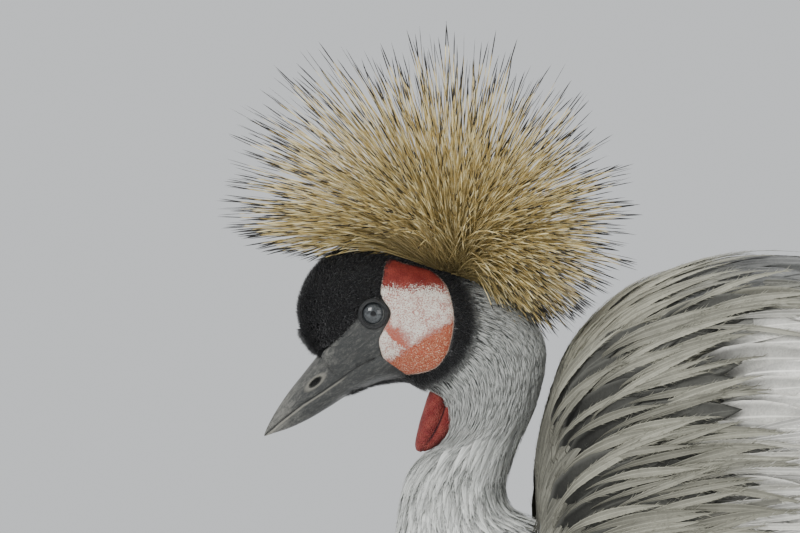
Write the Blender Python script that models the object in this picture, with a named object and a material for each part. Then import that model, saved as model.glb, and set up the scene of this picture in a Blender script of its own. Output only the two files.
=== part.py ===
"""A grey crowned crane at life size, standing with its neck drawn back in an S.

Metres, +Z up. The bird faces -X and stands on its toes at z = 0.
Every body part is its own object, and neighbours keep a gap of 0.3 mm.
"""

import math

import bmesh
import bpy
import numpy as np
from mathutils import Matrix, Vector

# Places that the rest is worked out from
EYE = Vector((-0.247, 0.0, 0.600))
GAP = 0.0003
HEAD_SIDES = 18
BODY_SIDES = 20

# Head and neck, as ribs from the cap's front edge to the root of the neck.
# Each row: back point (x, z), throat point (x, z), half width, all from the eye.
HEAD_RIBS = (
    (-0.0394, -0.0092, -0.0302, -0.0211, 0.0060),  # front edge of the velvet cap
    (-0.0413, 0.0027, -0.0248, -0.0335, 0.0140),  # forehead
    (-0.0351, 0.0211, -0.0157, -0.0448, 0.0200),  # brow and chin
    (-0.0178, 0.0340, 0.0005, -0.0389, 0.0235),  # front of the crown
    (0.0070, 0.0324, 0.0167, -0.0367, 0.0245),  # crown
    (0.0340, 0.0248, 0.0259, -0.0410, 0.0240),  # root of the crest
    (0.0626, 0.0130, 0.0346, -0.0448, 0.0220),  # nape
    (0.0859, -0.0016, 0.0394, -0.0524, 0.0205),  # bend of the neck
    (0.0934, -0.0221, 0.0400, -0.0610, 0.0205),
    (0.0880, -0.0497, 0.0356, -0.0707, 0.0205),
    (0.0767, -0.0734, 0.0248, -0.0778, 0.0220),
    (0.0705, -0.0940, 0.0157, -0.0977, 0.0270),  # foot of the neck
    (0.0740, -0.1058, 0.0130, -0.1226, 0.0350),
    (0.0832, -0.1102, 0.0151, -0.1485, 0.0430),  # meets the breast
)
HEAD_RINGS = 30
HEAD_CUT = 0.40  # share of the ribs' run where the head ends
NECK_CUT = 0.72  # share where the upper neck ends

# Torso sections across X: x, back z, belly z, half width
TORSO_SECTIONS = (
    (-0.2338, 0.4530, 0.4450, 0.006),
    (-0.2165, 0.4765, 0.4193, 0.038),
    (-0.1787, 0.4889, 0.3982, 0.060),
    (-0.1647, 0.4927, 0.3950, 0.065),  # hollow where the neck meets the mantle
    (-0.1550, 0.5380, 0.3934, 0.069),
    (-0.1393, 0.5845, 0.3917, 0.074),
    (-0.1004, 0.6180, 0.3901, 0.080),
    (-0.0383, 0.6330, 0.3917, 0.082),  # top of the back
    (0.0373, 0.6256, 0.4079, 0.076),
    (0.1129, 0.5986, 0.4382, 0.058),
    (0.1723, 0.5618, 0.4668, 0.033),
    (0.1993, 0.5370, 0.4830, 0.008),  # root of the tail
)
TORSO_RINGS = 19
BODY_POWER = 2.2
PLUME_DEPTH = 0.008  # how far the torso lies under the tops of its plumes
SEED = 7


def clear_scene():
    for obj in list(bpy.data.objects):
        bpy.data.objects.remove(obj)


def material(name, colour, roughness, metallic=0.0):
    made = bpy.data.materials.new(name)
    made.use_nodes = True
    shader = made.node_tree.nodes["Principled BSDF"]
    shader.inputs["Base Color"].default_value = (*colour, 1.0)
    shader.inputs["Roughness"].default_value = roughness
    shader.inputs["Metallic"].default_value = metallic
    return made


def finish(bm, name, look):
    """Turns a bmesh into a linked, smooth shaded object with its faces pointing out."""
    bmesh.ops.recalc_face_normals(bm, faces=bm.faces)
    mesh = bpy.data.meshes.new(name)
    bm.to_mesh(mesh)
    bm.free()
    mesh.shade_smooth()
    mesh.materials.append(look)
    obj = bpy.data.objects.new(name, mesh)
    bpy.context.scene.collection.objects.link(obj)
    return obj


def smooth_rows(rows, count):
    """Rows read at even shares of the run through the given rows, without overshoot."""
    rows = np.asarray(rows, float)
    steps = np.linalg.norm(np.diff(rows[:, :2], axis=0), axis=1)
    if rows.shape[1] > 4:
        steps = np.maximum(steps, np.linalg.norm(np.diff(rows[:, 2:4], axis=0), axis=1))
    knots = np.concatenate([[0.0], np.cumsum(steps)]) / steps.sum()
    slopes = np.diff(rows, axis=0) / np.diff(knots)[:, None]
    tangents = np.zeros_like(rows)
    same_way = slopes[:-1] * slopes[1:] > 0
    mean = 2 * slopes[:-1] * slopes[1:] / np.where(same_way, slopes[:-1] + slopes[1:], 1)
    tangents[1:-1] = np.where(same_way, mean, 0)
    tangents[0], tangents[-1] = slopes[0], slopes[-1]
    at = np.linspace(0, 1, count)
    place = np.clip(np.searchsorted(knots, at, side="right") - 1, 0, len(knots) - 2)
    span = (knots[place + 1] - knots[place])[:, None]
    part = (at[:, None] - knots[place][:, None]) / span
    return (
        rows[place] * (2 * part**3 - 3 * part**2 + 1)
        + tangents[place] * span * (part**3 - 2 * part**2 + part)
        + rows[place + 1] * (3 * part**2 - 2 * part**3)
        + tangents[place + 1] * span * (part**3 - part**2)
    )


def oval(centre, up, side, sides, power=2.0):
    """A ring of points round a centre; power 2 is an ellipse and more is squarer."""
    points = []
    for i in range(sides):
        angle = 2 * math.pi * i / sides
        c, s = math.cos(angle), math.sin(angle)
        along = math.copysign(abs(c) ** (2 / power), c)
        across = math.copysign(abs(s) ** (2 / power), s)
        points.append(centre + up * along + side * across)
    return points


def split_alike(rows):
    """Splits the faces between rows of four so that both sides of a thin vane split the same way."""
    for low, high in zip(rows, rows[1:]):
        for j in range(4):
            k = (j + 1) % 4
            face = next(f for f in low[j].link_faces if low[k] in f.verts and high[j] in f.verts)
            if j % 2 == 0:
                bmesh.utils.face_split(face, low[j], high[k])
            else:
                bmesh.utils.face_split(face, low[k], high[j])


def loft(name, rings, look, split=False):
    """One closed body through rings of equal count, split into triangles if asked."""
    bm = bmesh.new()
    made = bmesh.ops.create_circle(bm, segments=len(rings[0]), radius=1.0)
    row = made["verts"]
    for vert, point in zip(row, rings[0]):
        vert.co = point
    first = list(bm.edges)
    edges = first
    rows = [row]
    for ring in rings[1:]:
        out = bmesh.ops.extrude_edge_only(bm, edges=edges)["geom"]
        fresh = {v for v in out if isinstance(v, bmesh.types.BMVert)}
        row = [next(e.other_vert(v) for e in v.link_edges if e.other_vert(v) in fresh) for v in row]
        for vert, point in zip(row, ring):
            vert.co = point
        edges = [e for e in out if isinstance(e, bmesh.types.BMEdge) and set(e.verts) <= fresh]
        rows.append(row)
    if len(rings[0]) == 4:
        split_alike(rows)
    bmesh.ops.contextual_create(bm, geom=first)
    bmesh.ops.contextual_create(bm, geom=edges)
    corners = 3 if split else 4
    bmesh.ops.triangulate(bm, faces=[f for f in bm.faces if len(f.verts) > corners])
    return finish(bm, name, look)


def tube(name, path, radii, look, sides=12, flat=1.0):
    """A round or flattened limb along a path of points, with a radius for each point."""
    rings = []
    for i, (point, radius) in enumerate(zip(path, radii)):
        ahead = Vector(path[min(i + 1, len(path) - 1)]) - Vector(path[max(i - 1, 0)])
        ahead.normalize()
        side = ahead.orthogonal() if abs(ahead.y) > 0.99 else ahead.cross(Vector((0, 1, 0)))
        up = side.normalized()
        side = ahead.cross(up).normalized()
        rings.append(oval(Vector(point), up * radius, side * radius * flat, sides))
    return loft(name, rings, look)


def grown(obj, distance, name="grown"):
    """A hidden copy of a closed object with its surface moved out by a distance."""
    copy = bpy.data.objects.new(name, obj.data.copy())
    bpy.context.scene.collection.objects.link(copy)
    normals = [v.normal.copy() for v in copy.data.vertices]
    for vert, normal in zip(copy.data.vertices, normals):
        vert.co += normal * distance
    copy.hide_render = True
    copy.display_type = "WIRE"
    return copy


def boolean(obj, other, operation, keep_other=False):
    modifier = obj.modifiers.new(operation.lower(), "BOOLEAN")
    modifier.operation = operation
    modifier.object = other
    modifier.solver = "EXACT"
    apply_modifiers(obj)
    if not keep_other:
        bpy.data.objects.remove(other)
    return obj


def apply_modifiers(obj):
    graph = bpy.context.evaluated_depsgraph_get()
    graph.update()
    mesh = bpy.data.meshes.new_from_object(obj.evaluated_get(graph))
    obj.modifiers.clear()
    old = obj.data
    obj.data = mesh
    bpy.data.meshes.remove(old)


def keep_largest(obj):
    """Drops all but the largest closed surface of an object."""
    bm = bmesh.new()
    bm.from_mesh(obj.data)
    left, groups = set(bm.verts), []
    while left:
        stack, group = [left.pop()], set()
        while stack:
            vert = stack.pop()
            group.add(vert)
            for edge in vert.link_edges:
                near = edge.other_vert(vert)
                if near in left:
                    left.discard(near)
                    stack.append(near)
        groups.append(group)
    groups.sort(key=len)
    loose = [v for group in groups[:-1] for v in group]
    bmesh.ops.delete(bm, geom=loose, context="VERTS")
    bm.to_mesh(obj.data)
    bm.free()


def sliced(obj, point, normal):
    """Keeps the side of a closed object that a plane's normal points away from."""
    bm = bmesh.new()
    bm.from_mesh(obj.data)
    geom = bm.verts[:] + bm.edges[:] + bm.faces[:]
    bmesh.ops.bisect_plane(bm, geom=geom, dist=1e-6, plane_co=point, plane_no=normal, clear_outer=True)
    rim = [e for e in bm.edges if e.is_boundary]
    made = bmesh.ops.contextual_create(bm, geom=rim)["faces"]
    bmesh.ops.triangulate(bm, faces=made)
    bmesh.ops.recalc_face_normals(bm, faces=bm.faces)
    bm.to_mesh(obj.data)
    bm.free()
    return obj


def duplicate(obj, name):
    copy = bpy.data.objects.new(name, obj.data.copy())
    bpy.context.scene.collection.objects.link(copy)
    return copy


def head_ribs():
    return smooth_rows(HEAD_RIBS, HEAD_RINGS)


def rib_ring(rib, sides=HEAD_SIDES, power=2.0):
    back = EYE + Vector((rib[0], 0, rib[1]))
    throat = EYE + Vector((rib[2], 0, rib[3]))
    return oval((back + throat) / 2, (back - throat) / 2, Vector((0, rib[4], 0)), sides, power)


def rib_plane(share):
    """A point on the cut across the ribs at a share of their run, and the way to the tail."""
    ribs = head_ribs()
    rib = ribs[round(share * (len(ribs) - 1))]
    back, throat = Vector((rib[0], 0, rib[1])), Vector((rib[2], 0, rib[3]))
    across = (back - throat).normalized()
    return EYE + (back + throat) / 2, across.cross(Vector((0, 1, 0))) * -1


def at_share(rows, share):
    """The row at a share of the run through evenly spaced rows."""
    place = min(max(share, 0.0), 1.0) * (len(rows) - 1)
    low = min(int(place), len(rows) - 2)
    return rows[low] + (rows[low + 1] - rows[low]) * (place - low)


BODY = smooth_rows(TORSO_SECTIONS, 161)
NECK = smooth_rows(HEAD_RIBS, 161)


def body_surface(share, angle):
    """A point of the torso's outline: angle 0 is the spine, and a positive one is to the right."""
    x, top, bottom, width = at_share(BODY, share)
    c, s = math.cos(angle), math.sin(angle)
    up = math.copysign(abs(c) ** (2 / BODY_POWER), c) * (top - bottom) / 2
    out = math.copysign(abs(s) ** (2 / BODY_POWER), s) * width
    return Vector((x, out, (top + bottom) / 2 + up))


def neck_surface(share, angle):
    """A point of the head or neck: angle 0 is the back, and a positive one is to the right."""
    row = at_share(NECK, share)
    back, throat = Vector((row[0], 0, row[1])), Vector((row[2], 0, row[3]))
    half = (back - throat) / 2
    return EYE + (back + throat) / 2 + half * math.cos(angle) + Vector((0, row[4] * math.sin(angle), 0))


def lifted(surface, share, angle, lift):
    """A point off a surface, and the way out of the surface there."""
    along = surface(min(share + 0.01, 1.0), angle) - surface(max(share - 0.01, 0.0), angle)
    around = surface(share, angle + 0.03) - surface(share, angle - 0.03)
    normal = along.cross(around).normalized()
    return surface(share, angle) + normal * lift, normal


def share_of_x(x):
    return float(np.interp(x, BODY[:, 0], np.linspace(0, 1, len(BODY))))


def smooth_step(value, low, high):
    part = min(max((value - low) / (high - low), 0.0), 1.0)
    return part * part * (3 - 2 * part)


def plume_depth(share, angle):
    """Depth of the plumes at a place: full on the back and flanks, and nothing on the belly."""
    ends = smooth_step(share, 0.13, 0.20) * smooth_step(share, 0.98, 0.88)
    return PLUME_DEPTH * ends * smooth_step(abs(angle), math.radians(128), math.radians(100))


NECK_PLUME_DEPTH = 0.003


def build_head_and_neck(looks):
    """One run of flesh from the brow to the breast, parted across the nape and the mid neck."""
    whole = loft("head", [rib_ring(rib) for rib in head_ribs()], looks["black"])
    nape, to_neck = rib_plane(HEAD_CUT)
    middle, down = rib_plane(NECK_CUT)
    upper = duplicate(whole, "upper_neck")
    head = sliced(whole, nape, to_neck)
    sliced(upper, nape + to_neck * GAP, -to_neck)
    sliced(upper, middle, down)
    rings = []
    for share in np.linspace(NECK_CUT - 0.06, 1.0, 11):
        depth = NECK_PLUME_DEPTH * smooth_step(share, NECK_CUT, NECK_CUT + 0.05)
        turns = [2 * math.pi * i / HEAD_SIDES for i in range(HEAD_SIDES)]
        rings.append([lifted(neck_surface, share, turn, -depth)[0] for turn in turns])
    lower = loft("lower_neck", rings, looks["pale grey"])
    sliced(lower, middle + down * GAP, -down)
    upper.data.materials.clear()
    upper.data.materials.append(looks["pale grey"])
    return head, upper, lower


# Bill, from its root inside the face to the tip: culmen or chin point, mouth line point, half width
UPPER_BILL = (
    (-0.0227, -0.0135, -0.0086, -0.0286, 0.0125),
    (-0.0302, -0.0227, -0.0167, -0.0340, 0.0105),
    (-0.0383, -0.0329, -0.0275, -0.0416, 0.0085),
    (-0.0464, -0.0432, -0.0383, -0.0486, 0.0065),
    (-0.0535, -0.0540, -0.0486, -0.0567, 0.0042),
    (-0.0578, -0.0621, -0.0562, -0.0629, 0.0020),
    (-0.0594, -0.0659, -0.0592, -0.0662, 0.0005),
)
LOWER_BILL = (
    (-0.0054, -0.0405, -0.0086, -0.0293, 0.0110),
    (-0.0130, -0.0437, -0.0167, -0.0347, 0.0095),
    (-0.0238, -0.0505, -0.0275, -0.0423, 0.0075),
    (-0.0351, -0.0572, -0.0383, -0.0493, 0.0055),
    (-0.0464, -0.0624, -0.0486, -0.0574, 0.0035),
    (-0.0551, -0.0652, -0.0556, -0.0638, 0.0016),
    (-0.0582, -0.0664, -0.0583, -0.0659, 0.0005),
)
BILL_RINGS = 12
BILL_SIDES = 12
NOSTRIL = EYE + Vector((-0.0313, 0, -0.0370))
NOSTRIL_HALVES = (0.0044, 0.0024, 0.0016)
NOSTRIL_SIDE = 0.0092
NOSTRIL_TURN = math.radians(-40)  # slope of the nostril along the bill


def half_oval(rib):
    """The section of half a bill: arched over the ridge and flat along the mouth."""
    ridge = EYE + Vector((rib[0], 0, rib[1]))
    mouth = EYE + Vector((rib[2], 0, rib[3]))
    points = []
    for i in range(BILL_SIDES):
        angle = math.pi * (i / (BILL_SIDES - 1) - 0.5)
        height = math.cos(angle) ** 0.8 if i not in (0, BILL_SIDES - 1) else 0.0
        points.append(mouth + (ridge - mouth) * height + Vector((0, rib[4] * math.sin(angle), 0)))
    return points


def build_bill(head, looks):
    around_face = grown(head, GAP)
    for name, ribs in (("upper_bill", UPPER_BILL), ("lower_bill", LOWER_BILL)):
        bill = loft(name, [half_oval(rib) for rib in smooth_rows(ribs, BILL_RINGS)], looks["horn"])
        boolean(bill, around_face, "DIFFERENCE", keep_other=True)
        keep_largest(bill)
        if name == "upper_bill":
            for side in (-1, 1):
                hole = ball("nostril", (0, 0, 0), NOSTRIL_HALVES, looks["horn"], 10, 6)
                hole.data.transform(Matrix.Rotation(NOSTRIL_TURN, 4, "Y"))
                hole.data.transform(Matrix.Translation(NOSTRIL + Vector((0, side * NOSTRIL_SIDE, 0))))
                boolean(bill, hole, "DIFFERENCE")
    bpy.data.objects.remove(around_face)


EYE_RADIUS = 0.008
EYE_SIDE = 0.0180  # from the middle of the head to the middle of the eyeball


LID_SIDE = 0.0232  # from the middle of the head to the middle of the lids
LID_HALVES = (0.0086, 0.0026, 0.0086)


def ball(name, centre, radii, look, across=14, up=8):
    bm = bmesh.new()
    bmesh.ops.create_uvsphere(bm, u_segments=across, v_segments=up, radius=1.0)
    bmesh.ops.scale(bm, vec=Vector(radii), verts=bm.verts)
    bmesh.ops.translate(bm, vec=Vector(centre), verts=bm.verts)
    return finish(bm, name, look)


def build_eyes(head, looks):
    for side, name in ((-1, "left_eye"), (1, "right_eye")):
        centre = EYE + Vector((0, side * EYE_SIDE, 0))
        lids = ball("lids", EYE + Vector((0, side * LID_SIDE, 0)), LID_HALVES, looks["black"])
        boolean(head, lids, "UNION")
        socket = ball("socket", centre, [EYE_RADIUS + GAP] * 3, looks["black"])
        boolean(head, socket, "DIFFERENCE")
        ball(name, centre, [EYE_RADIUS] * 3, looks["eye"])


# Bare cheek patch behind the eye, as seen from the side: x, z from the eye
CHEEK = (
    (0.0075, 0.0305), (0.0046, 0.0200), (0.0048, 0.0112), (0.0094, 0.0000), (0.0058, -0.0092),
    (0.0027, -0.0146), (0.0041, -0.0216), (0.0076, -0.0297), (0.0151, -0.0325), (0.0248, -0.0320),
    (0.0330, -0.0290), (0.0395, -0.0210), (0.0420, -0.0065), (0.0415, 0.0054), (0.0380, 0.0160),
    (0.0300, 0.0235), (0.0167, 0.0275),
)
CHEEK_RISE = 0.0011
CHEEK_SUNK = 0.0012
CHEEK_ROOM = 1.025  # size of the recess against the patch
CHEEK_MIDDLE = Vector((0.023, -0.002))  # from the eye
CHEEK_DEEP = (0.006, 0.040)  # the prism's two ends, out from the middle of the head


def cheek_prism(name, side, size, look):
    centre = CHEEK_MIDDLE
    rings = []
    for y in CHEEK_DEEP:
        ring = []
        for x, z in CHEEK:
            at = centre + (Vector((x, z)) - centre) * size
            ring.append(EYE + Vector((at.x, side * y, at.y)))
        rings.append(ring)
    return loft(name, rings, look)


def build_cheeks(head, looks):
    """The bare patches, each a curved plate let into the side of the head."""
    outside = grown(head, CHEEK_RISE)
    inside = grown(head, -CHEEK_SUNK)
    deeper = grown(head, -CHEEK_SUNK - GAP)
    cheeks = []
    for side, name in ((-1, "left_cheek"), (1, "right_cheek")):
        cheek = cheek_prism(name, side, 1.0, looks["red"])
        boolean(cheek, outside, "INTERSECT", keep_other=True)
        boolean(cheek, inside, "DIFFERENCE", keep_other=True)
        keep_largest(cheek)
        recess = cheek_prism("recess", side, CHEEK_ROOM, looks["red"])
        boolean(recess, deeper, "DIFFERENCE", keep_other=True)
        keep_largest(recess)
        boolean(head, recess, "DIFFERENCE")
        keep_largest(head)
        cheeks.append(cheek)
    for obj in (outside, inside, deeper):
        bpy.data.objects.remove(obj)
    return cheeks


# Wattle: two folds that hang side by side under the throat, from the eye: x, z, radius
WATTLE_FOLDS = (
    ((0.0356, -0.0394, 0.0035), (0.0335, -0.0481, 0.0052), (0.0308, -0.0578, 0.0056),
     (0.0270, -0.0675, 0.0044), (0.0243, -0.0734, 0.0022)),
    ((0.0421, -0.0427, 0.0030), (0.0410, -0.0497, 0.0042), (0.0378, -0.0589, 0.0046),
     (0.0324, -0.0675, 0.0036), (0.0275, -0.0734, 0.0020)),
)


def fuse(name, pieces, solver="EXACT"):
    """Joins closed, overlapping pieces into the first one, which takes the name."""
    base = pieces[0]
    group = bpy.data.collections.new("pieces")
    bpy.context.scene.collection.children.link(group)
    for piece in pieces[1:]:
        bpy.context.scene.collection.objects.unlink(piece)
        group.objects.link(piece)
    modifier = base.modifiers.new("join", "BOOLEAN")
    modifier.operation = "UNION"
    modifier.operand_type = "COLLECTION"
    modifier.collection = group
    modifier.solver = solver
    apply_modifiers(base)
    for piece in list(group.objects):
        bpy.data.objects.remove(piece)
    bpy.data.collections.remove(group)
    keep_largest(base)
    base.name = name
    return base


def clear_of(obj, *others, gap=GAP):
    """Cuts an object back to the gap from each of the others."""
    for other in others:
        boolean(obj, grown(other, gap), "DIFFERENCE")
        keep_largest(obj)
    return obj


def build_wattle(head, neck, looks):
    folds = []
    for fold in WATTLE_FOLDS:
        rows = smooth_rows([(x, z, r) for x, z, r in fold], 9)
        path = [EYE + Vector((x, 0, z)) for x, z, _ in rows]
        folds.append(tube("fold", path, [r for _, _, r in rows], looks["red"], 10, 1.1))
    wattle = fuse("wattle", folds)
    return clear_of(wattle, head, neck)


def surface_vane(surface, share, angle, length, wide, lifts, look, turn=0.0, tilt=0.0, last=0.985):
    """A flat tapered feather that runs along a surface, from its root to its tip."""
    places, walked, at = [], 0.0, share
    wanted = [length * part for part in VANE_STATIONS]
    while len(places) < len(wanted):
        if walked >= wanted[len(places)] or at >= last:
            places.append(at)
            continue
        walked += (surface(at + 0.004, angle) - surface(at, angle)).length
        at += 0.004
    points, ups = [], []
    for i, (place, lift) in enumerate(zip(places, lifts)):
        point, up = lifted(surface, place, angle + turn * VANE_STATIONS[i], lift)
        points.append(point)
        ups.append(up)
    return vane(points, ups, wide, look, tilt)


VANE_STATIONS = (0.0, 0.33, 0.68, 1.0)
VANE_WIDTHS = (0.40, 1.0, 0.80, 0.07)
VANE_THICK = 0.0007  # half of a vane's thickness at its shaft


def vane(points, ups, wide, look, tilt=0.0):
    """A feather as a body of lozenge section, widest near its middle and drawn to a tip."""
    rings = []
    for i, (point, up) in enumerate(zip(points, ups)):
        ahead = (points[min(i + 1, len(points) - 1)] - points[max(i - 1, 0)]).normalized()
        side = ahead.cross(up).normalized()
        side = (side * math.cos(tilt) + up * math.sin(tilt)) * wide * VANE_WIDTHS[i]
        thick = up * VANE_THICK * (1.0 if i < len(points) - 1 else 0.3)
        rings.append([point + side, point + thick, point - side, point - thick])
    return loft("vane", rings, look)


CREST_ROOT = EYE + Vector((0.041, 0, 0.012))
CREST_LEAN = math.radians(74)  # way the middle of the fan points, from the tail's side
CREST_CORE = (0.052, 0.036, 0.052)
CREST_BASE = 0.008  # height of the core's underside over the root, inside the crown
# Reach of the fan from its root, by the direction seen from the side: degrees, metres
CREST_REACH = (
    (-14, 0.072), (-8, 0.084), (0, 0.098), (13, 0.105), (34, 0.117), (65, 0.131), (93, 0.139),
    (115, 0.144), (131, 0.150), (144, 0.143), (150, 0.135), (163, 0.127), (170, 0.106),
)
SPINE_COUNT = 112
SPINE_RADIUS = 0.0013
SPINE_TURNS = (-12, 160)  # degrees round the fan, from the tail's side
SPINE_SPREAD = 0.90  # sine of the widest turn to either side
SPINE_FLATTEN = 0.22  # share of the reach that the widest spines lose
SPINE_REACH = (0.90, 1.03)
SPINE_LOW = 0.045  # least reach of a spine cut short over the back
BACK_ROOM = 0.005
SPINE_START = 0.024  # along the lean, so that each spine springs from inside the core


def build_crest(head_room, neck, cheeks, looks):
    """The crown: a low core on the hind crown, set with tapered spines out to the tips."""
    rng = np.random.default_rng(SEED)
    core = ball("crest", CREST_ROOT, CREST_CORE, looks["straw"], 16, 10)
    middle = Vector((math.cos(CREST_LEAN), 0, math.sin(CREST_LEAN)))
    sliced(core, CREST_ROOT + middle * CREST_BASE, -middle)
    boolean(core, head_room, "DIFFERENCE")
    clear_of(core, neck)
    clear_of(core, *cheeks, gap=0.0008)
    degrees, reaches = zip(*CREST_REACH)
    spines = []
    for i in range(SPINE_COUNT):
        over = (i + 0.5) / SPINE_COUNT
        turn = SPINE_TURNS[0] + (SPINE_TURNS[1] - SPINE_TURNS[0]) * ((i * 0.618034) % 1.0)
        out = math.asin(SPINE_SPREAD * (2 * over - 1))
        heading = math.radians(turn)
        way = Vector((math.cos(heading) * math.cos(out), math.sin(out), math.sin(heading) * math.cos(out)))
        reach = float(np.interp(turn, degrees, reaches)) * rng.uniform(*SPINE_REACH)
        reach *= 1 - SPINE_FLATTEN * abs(math.sin(out))
        tip = CREST_ROOT + way * reach
        while tip.z < mantle_height(tip.x) + BACK_ROOM and reach > SPINE_LOW:
            reach *= 0.96
            tip = CREST_ROOT + way * reach
        root = CREST_ROOT + middle * SPINE_START + way * 0.012
        bend = Vector(rng.uniform(-1, 1, 3)) * 0.002
        path = [root, root.lerp(tip, 0.62) + bend, tip]
        radii = [SPINE_RADIUS * size for size in (1.1, 1.0, 0.15)]
        spines.append(tube("spine", path, radii, looks["straw"], 3))
    return fuse("crest", [core] + spines, "MANIFOLD")


def mantle_height(x):
    """Height of the back's outline, or nothing in front of it."""
    return float(np.interp(x, BODY[:, 0], BODY[:, 1], left=0.0, right=0.0))


def build_torso(neck, looks):
    """The torso's flesh, set in under the plumes where it carries them."""
    rings = []
    for share in np.linspace(0, 1, TORSO_RINGS):
        ring = []
        for i in range(BODY_SIDES):
            angle = 2 * math.pi * i / BODY_SIDES
            angle = angle if angle <= math.pi else angle - 2 * math.pi
            ring.append(lifted(body_surface, share, angle, -plume_depth(share, angle))[0])
        rings.append(ring)
    return clear_of(loft("torso", rings, looks["grey"]), neck)


PLUME_ROWS = (0.175, 0.270, 0.370, 0.480, 0.595, 0.715, 0.835)
PLUME_STEP = math.radians(14.5)
PLUME_WIDE = 0.0090
PLUME_LENGTH = (0.084, 0.100)
PLUME_TILT = 6  # degrees that a plume may roll on its shaft
PLUME_LIFTS = (-0.0100, -0.0050, -0.0022, -0.0008)


def add_mantle(torso, looks):
    """Long plumes of the back in staggered rows, each lying over the roots of the next."""
    rng = np.random.default_rng(SEED + 1)
    plumes = []
    for row, share in enumerate(PLUME_ROWS):
        columns = 2.5 if row % 2 == 0 else 2
        for k in range(int(2 * columns) + 1):
            angle = (k - columns) * PLUME_STEP
            length = rng.uniform(*PLUME_LENGTH) * (1 - 0.25 * (share > 0.8))
            turn = math.radians(rng.uniform(-1.5, 1.5))
            tilt = math.radians(rng.uniform(-PLUME_TILT, PLUME_TILT))
            plumes.append(surface_vane(body_surface, share, angle, length, PLUME_WIDE, PLUME_LIFTS,
                                       looks["grey"], turn, tilt))
    return fuse("torso", [torso] + plumes, "MANIFOLD")


NECK_ROWS = (0.755, 0.805)
NECK_COLUMNS = 9
NECK_LENGTH = (0.030, 0.038)
NECK_WIDE = (0.0060, 0.0070)
NECK_END = 0.89  # share of the neck where its plumes end
NECK_LIFTS = (-0.0045, -0.0015, 0.0000, 0.0012)


def add_neck_plumes(neck, looks):
    """Pendant plumes round the lower neck, which end above the shoulders."""
    rng = np.random.default_rng(SEED + 2)
    plumes = []
    for row, share in enumerate(NECK_ROWS):
        for k in range(NECK_COLUMNS):
            angle = 2 * math.pi * (k + 0.5 * (row % 2)) / NECK_COLUMNS
            length = rng.uniform(*NECK_LENGTH)
            tilt = math.radians(rng.uniform(-PLUME_TILT, PLUME_TILT))
            plumes.append(surface_vane(neck_surface, share, angle, length, NECK_WIDE[row], NECK_LIFTS,
                                       looks["pale grey"], 0.0, tilt, NECK_END))
    return fuse("lower_neck", [neck] + plumes, "MANIFOLD")


WING_FRONT, WING_BACK = -0.152, 0.140
WING_TOP, WING_BOTTOM = math.radians(46), math.radians(112)
WING_SKIN = 0.0030  # height of the wing's pad over the outline of the body
WING_ROOT = 0.020  # depth the pad starts from, before it is cut back to the flank
COVERT_ROWS = (-0.146, -0.098, -0.048, 0.006)
COVERT_STEP = math.radians(14.5)
COVERT_WIDE = 0.0090
COVERT_LENGTH = (0.078, 0.088)
COVERT_END = 0.95  # share of the body where the coverts end
COVERT_LIFTS = (0.0010, 0.0052, 0.0078, 0.0094)
QUILL_COUNT = 8
QUILL_WIDE = 0.0110


def wing_pad(name, side, look):
    """The flesh of the folded wing, a pad on the flank."""
    rings = []
    for x in np.linspace(WING_FRONT, WING_BACK, 11):
        share = share_of_x(x)
        part = (x - WING_FRONT) / (WING_BACK - WING_FRONT)
        full = smooth_step(part, -0.15, 0.16) * smooth_step(part, 1.25, 0.75)
        middle = (WING_TOP + WING_BOTTOM) / 2
        half = (WING_BOTTOM - WING_TOP) / 2 * (0.6 + 0.4 * full) * (1 - 0.15 * part)
        ring = []
        for k in range(7):
            angle = middle - half + 2 * half * k / 6
            rise = (WING_SKIN + PLUME_DEPTH) * full * (1 - (k / 3 - 1) ** 4 * 0.6)
            ring.append(lifted(body_surface, share, side * angle, rise - PLUME_DEPTH)[0])
        for k in range(6, -1, -1):
            angle = middle - half + 2 * half * k / 6
            ring.append(lifted(body_surface, share, side * angle, -WING_ROOT)[0])
        rings.append(ring)
    return loft(name, rings, look, split=True)


def build_wing(name, side, torso, looks):
    """The folded wing: coverts in staggered tiers, and long quills laid over the tail."""
    rng = np.random.default_rng(SEED + 3)
    pad = clear_of(wing_pad(name, side, looks["white"]), torso)
    vanes = []
    for row, x in enumerate(COVERT_ROWS):
        count = 5 if row % 2 == 0 else 4
        for k in range(count):
            angle = WING_TOP + math.radians(6) + (k + 0.5 * (row % 2)) * COVERT_STEP
            length = rng.uniform(*COVERT_LENGTH)
            turn = side * math.radians(rng.uniform(-1, 2))
            tilt = side * math.radians(rng.uniform(-5, 5))
            vanes.append(surface_vane(body_surface, share_of_x(x), side * angle, length, COVERT_WIDE,
                                      COVERT_LIFTS, looks["white"], turn, tilt, COVERT_END))
    for i in range(QUILL_COUNT):
        part = i / (QUILL_COUNT - 1)
        angle = WING_TOP + math.radians(7) + part * math.radians(50)
        lift = 0.0030 + 0.0045 * (1 - part)
        tip = Vector((0.232 + 0.094 * part, side * (0.038 - 0.021 * part), 0.492 - 0.078 * part))
        root, up = lifted(body_surface, share_of_x(0.035 + 0.02 * part), side * angle, 0.0)
        middle, flank = lifted(body_surface, share_of_x(0.125), side * angle * 0.98, lift + 0.004)
        roof = Vector((0.35, side * 0.72, 0.60)).normalized()
        points = [root, middle, middle.lerp(tip, 0.62) + roof * 0.003, tip]
        vanes.append(vane(points, [up, flank, roof, roof], QUILL_WIDE, looks["white"]))
    return fuse(name, [pad] + vanes, "MANIFOLD")


TAIL_ROOT = Vector((0.185, 0, 0.500))
TAIL_LENGTH = 0.184
TAIL_DROP = math.radians(38)
TAIL_SPREAD = math.radians(7)


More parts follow.
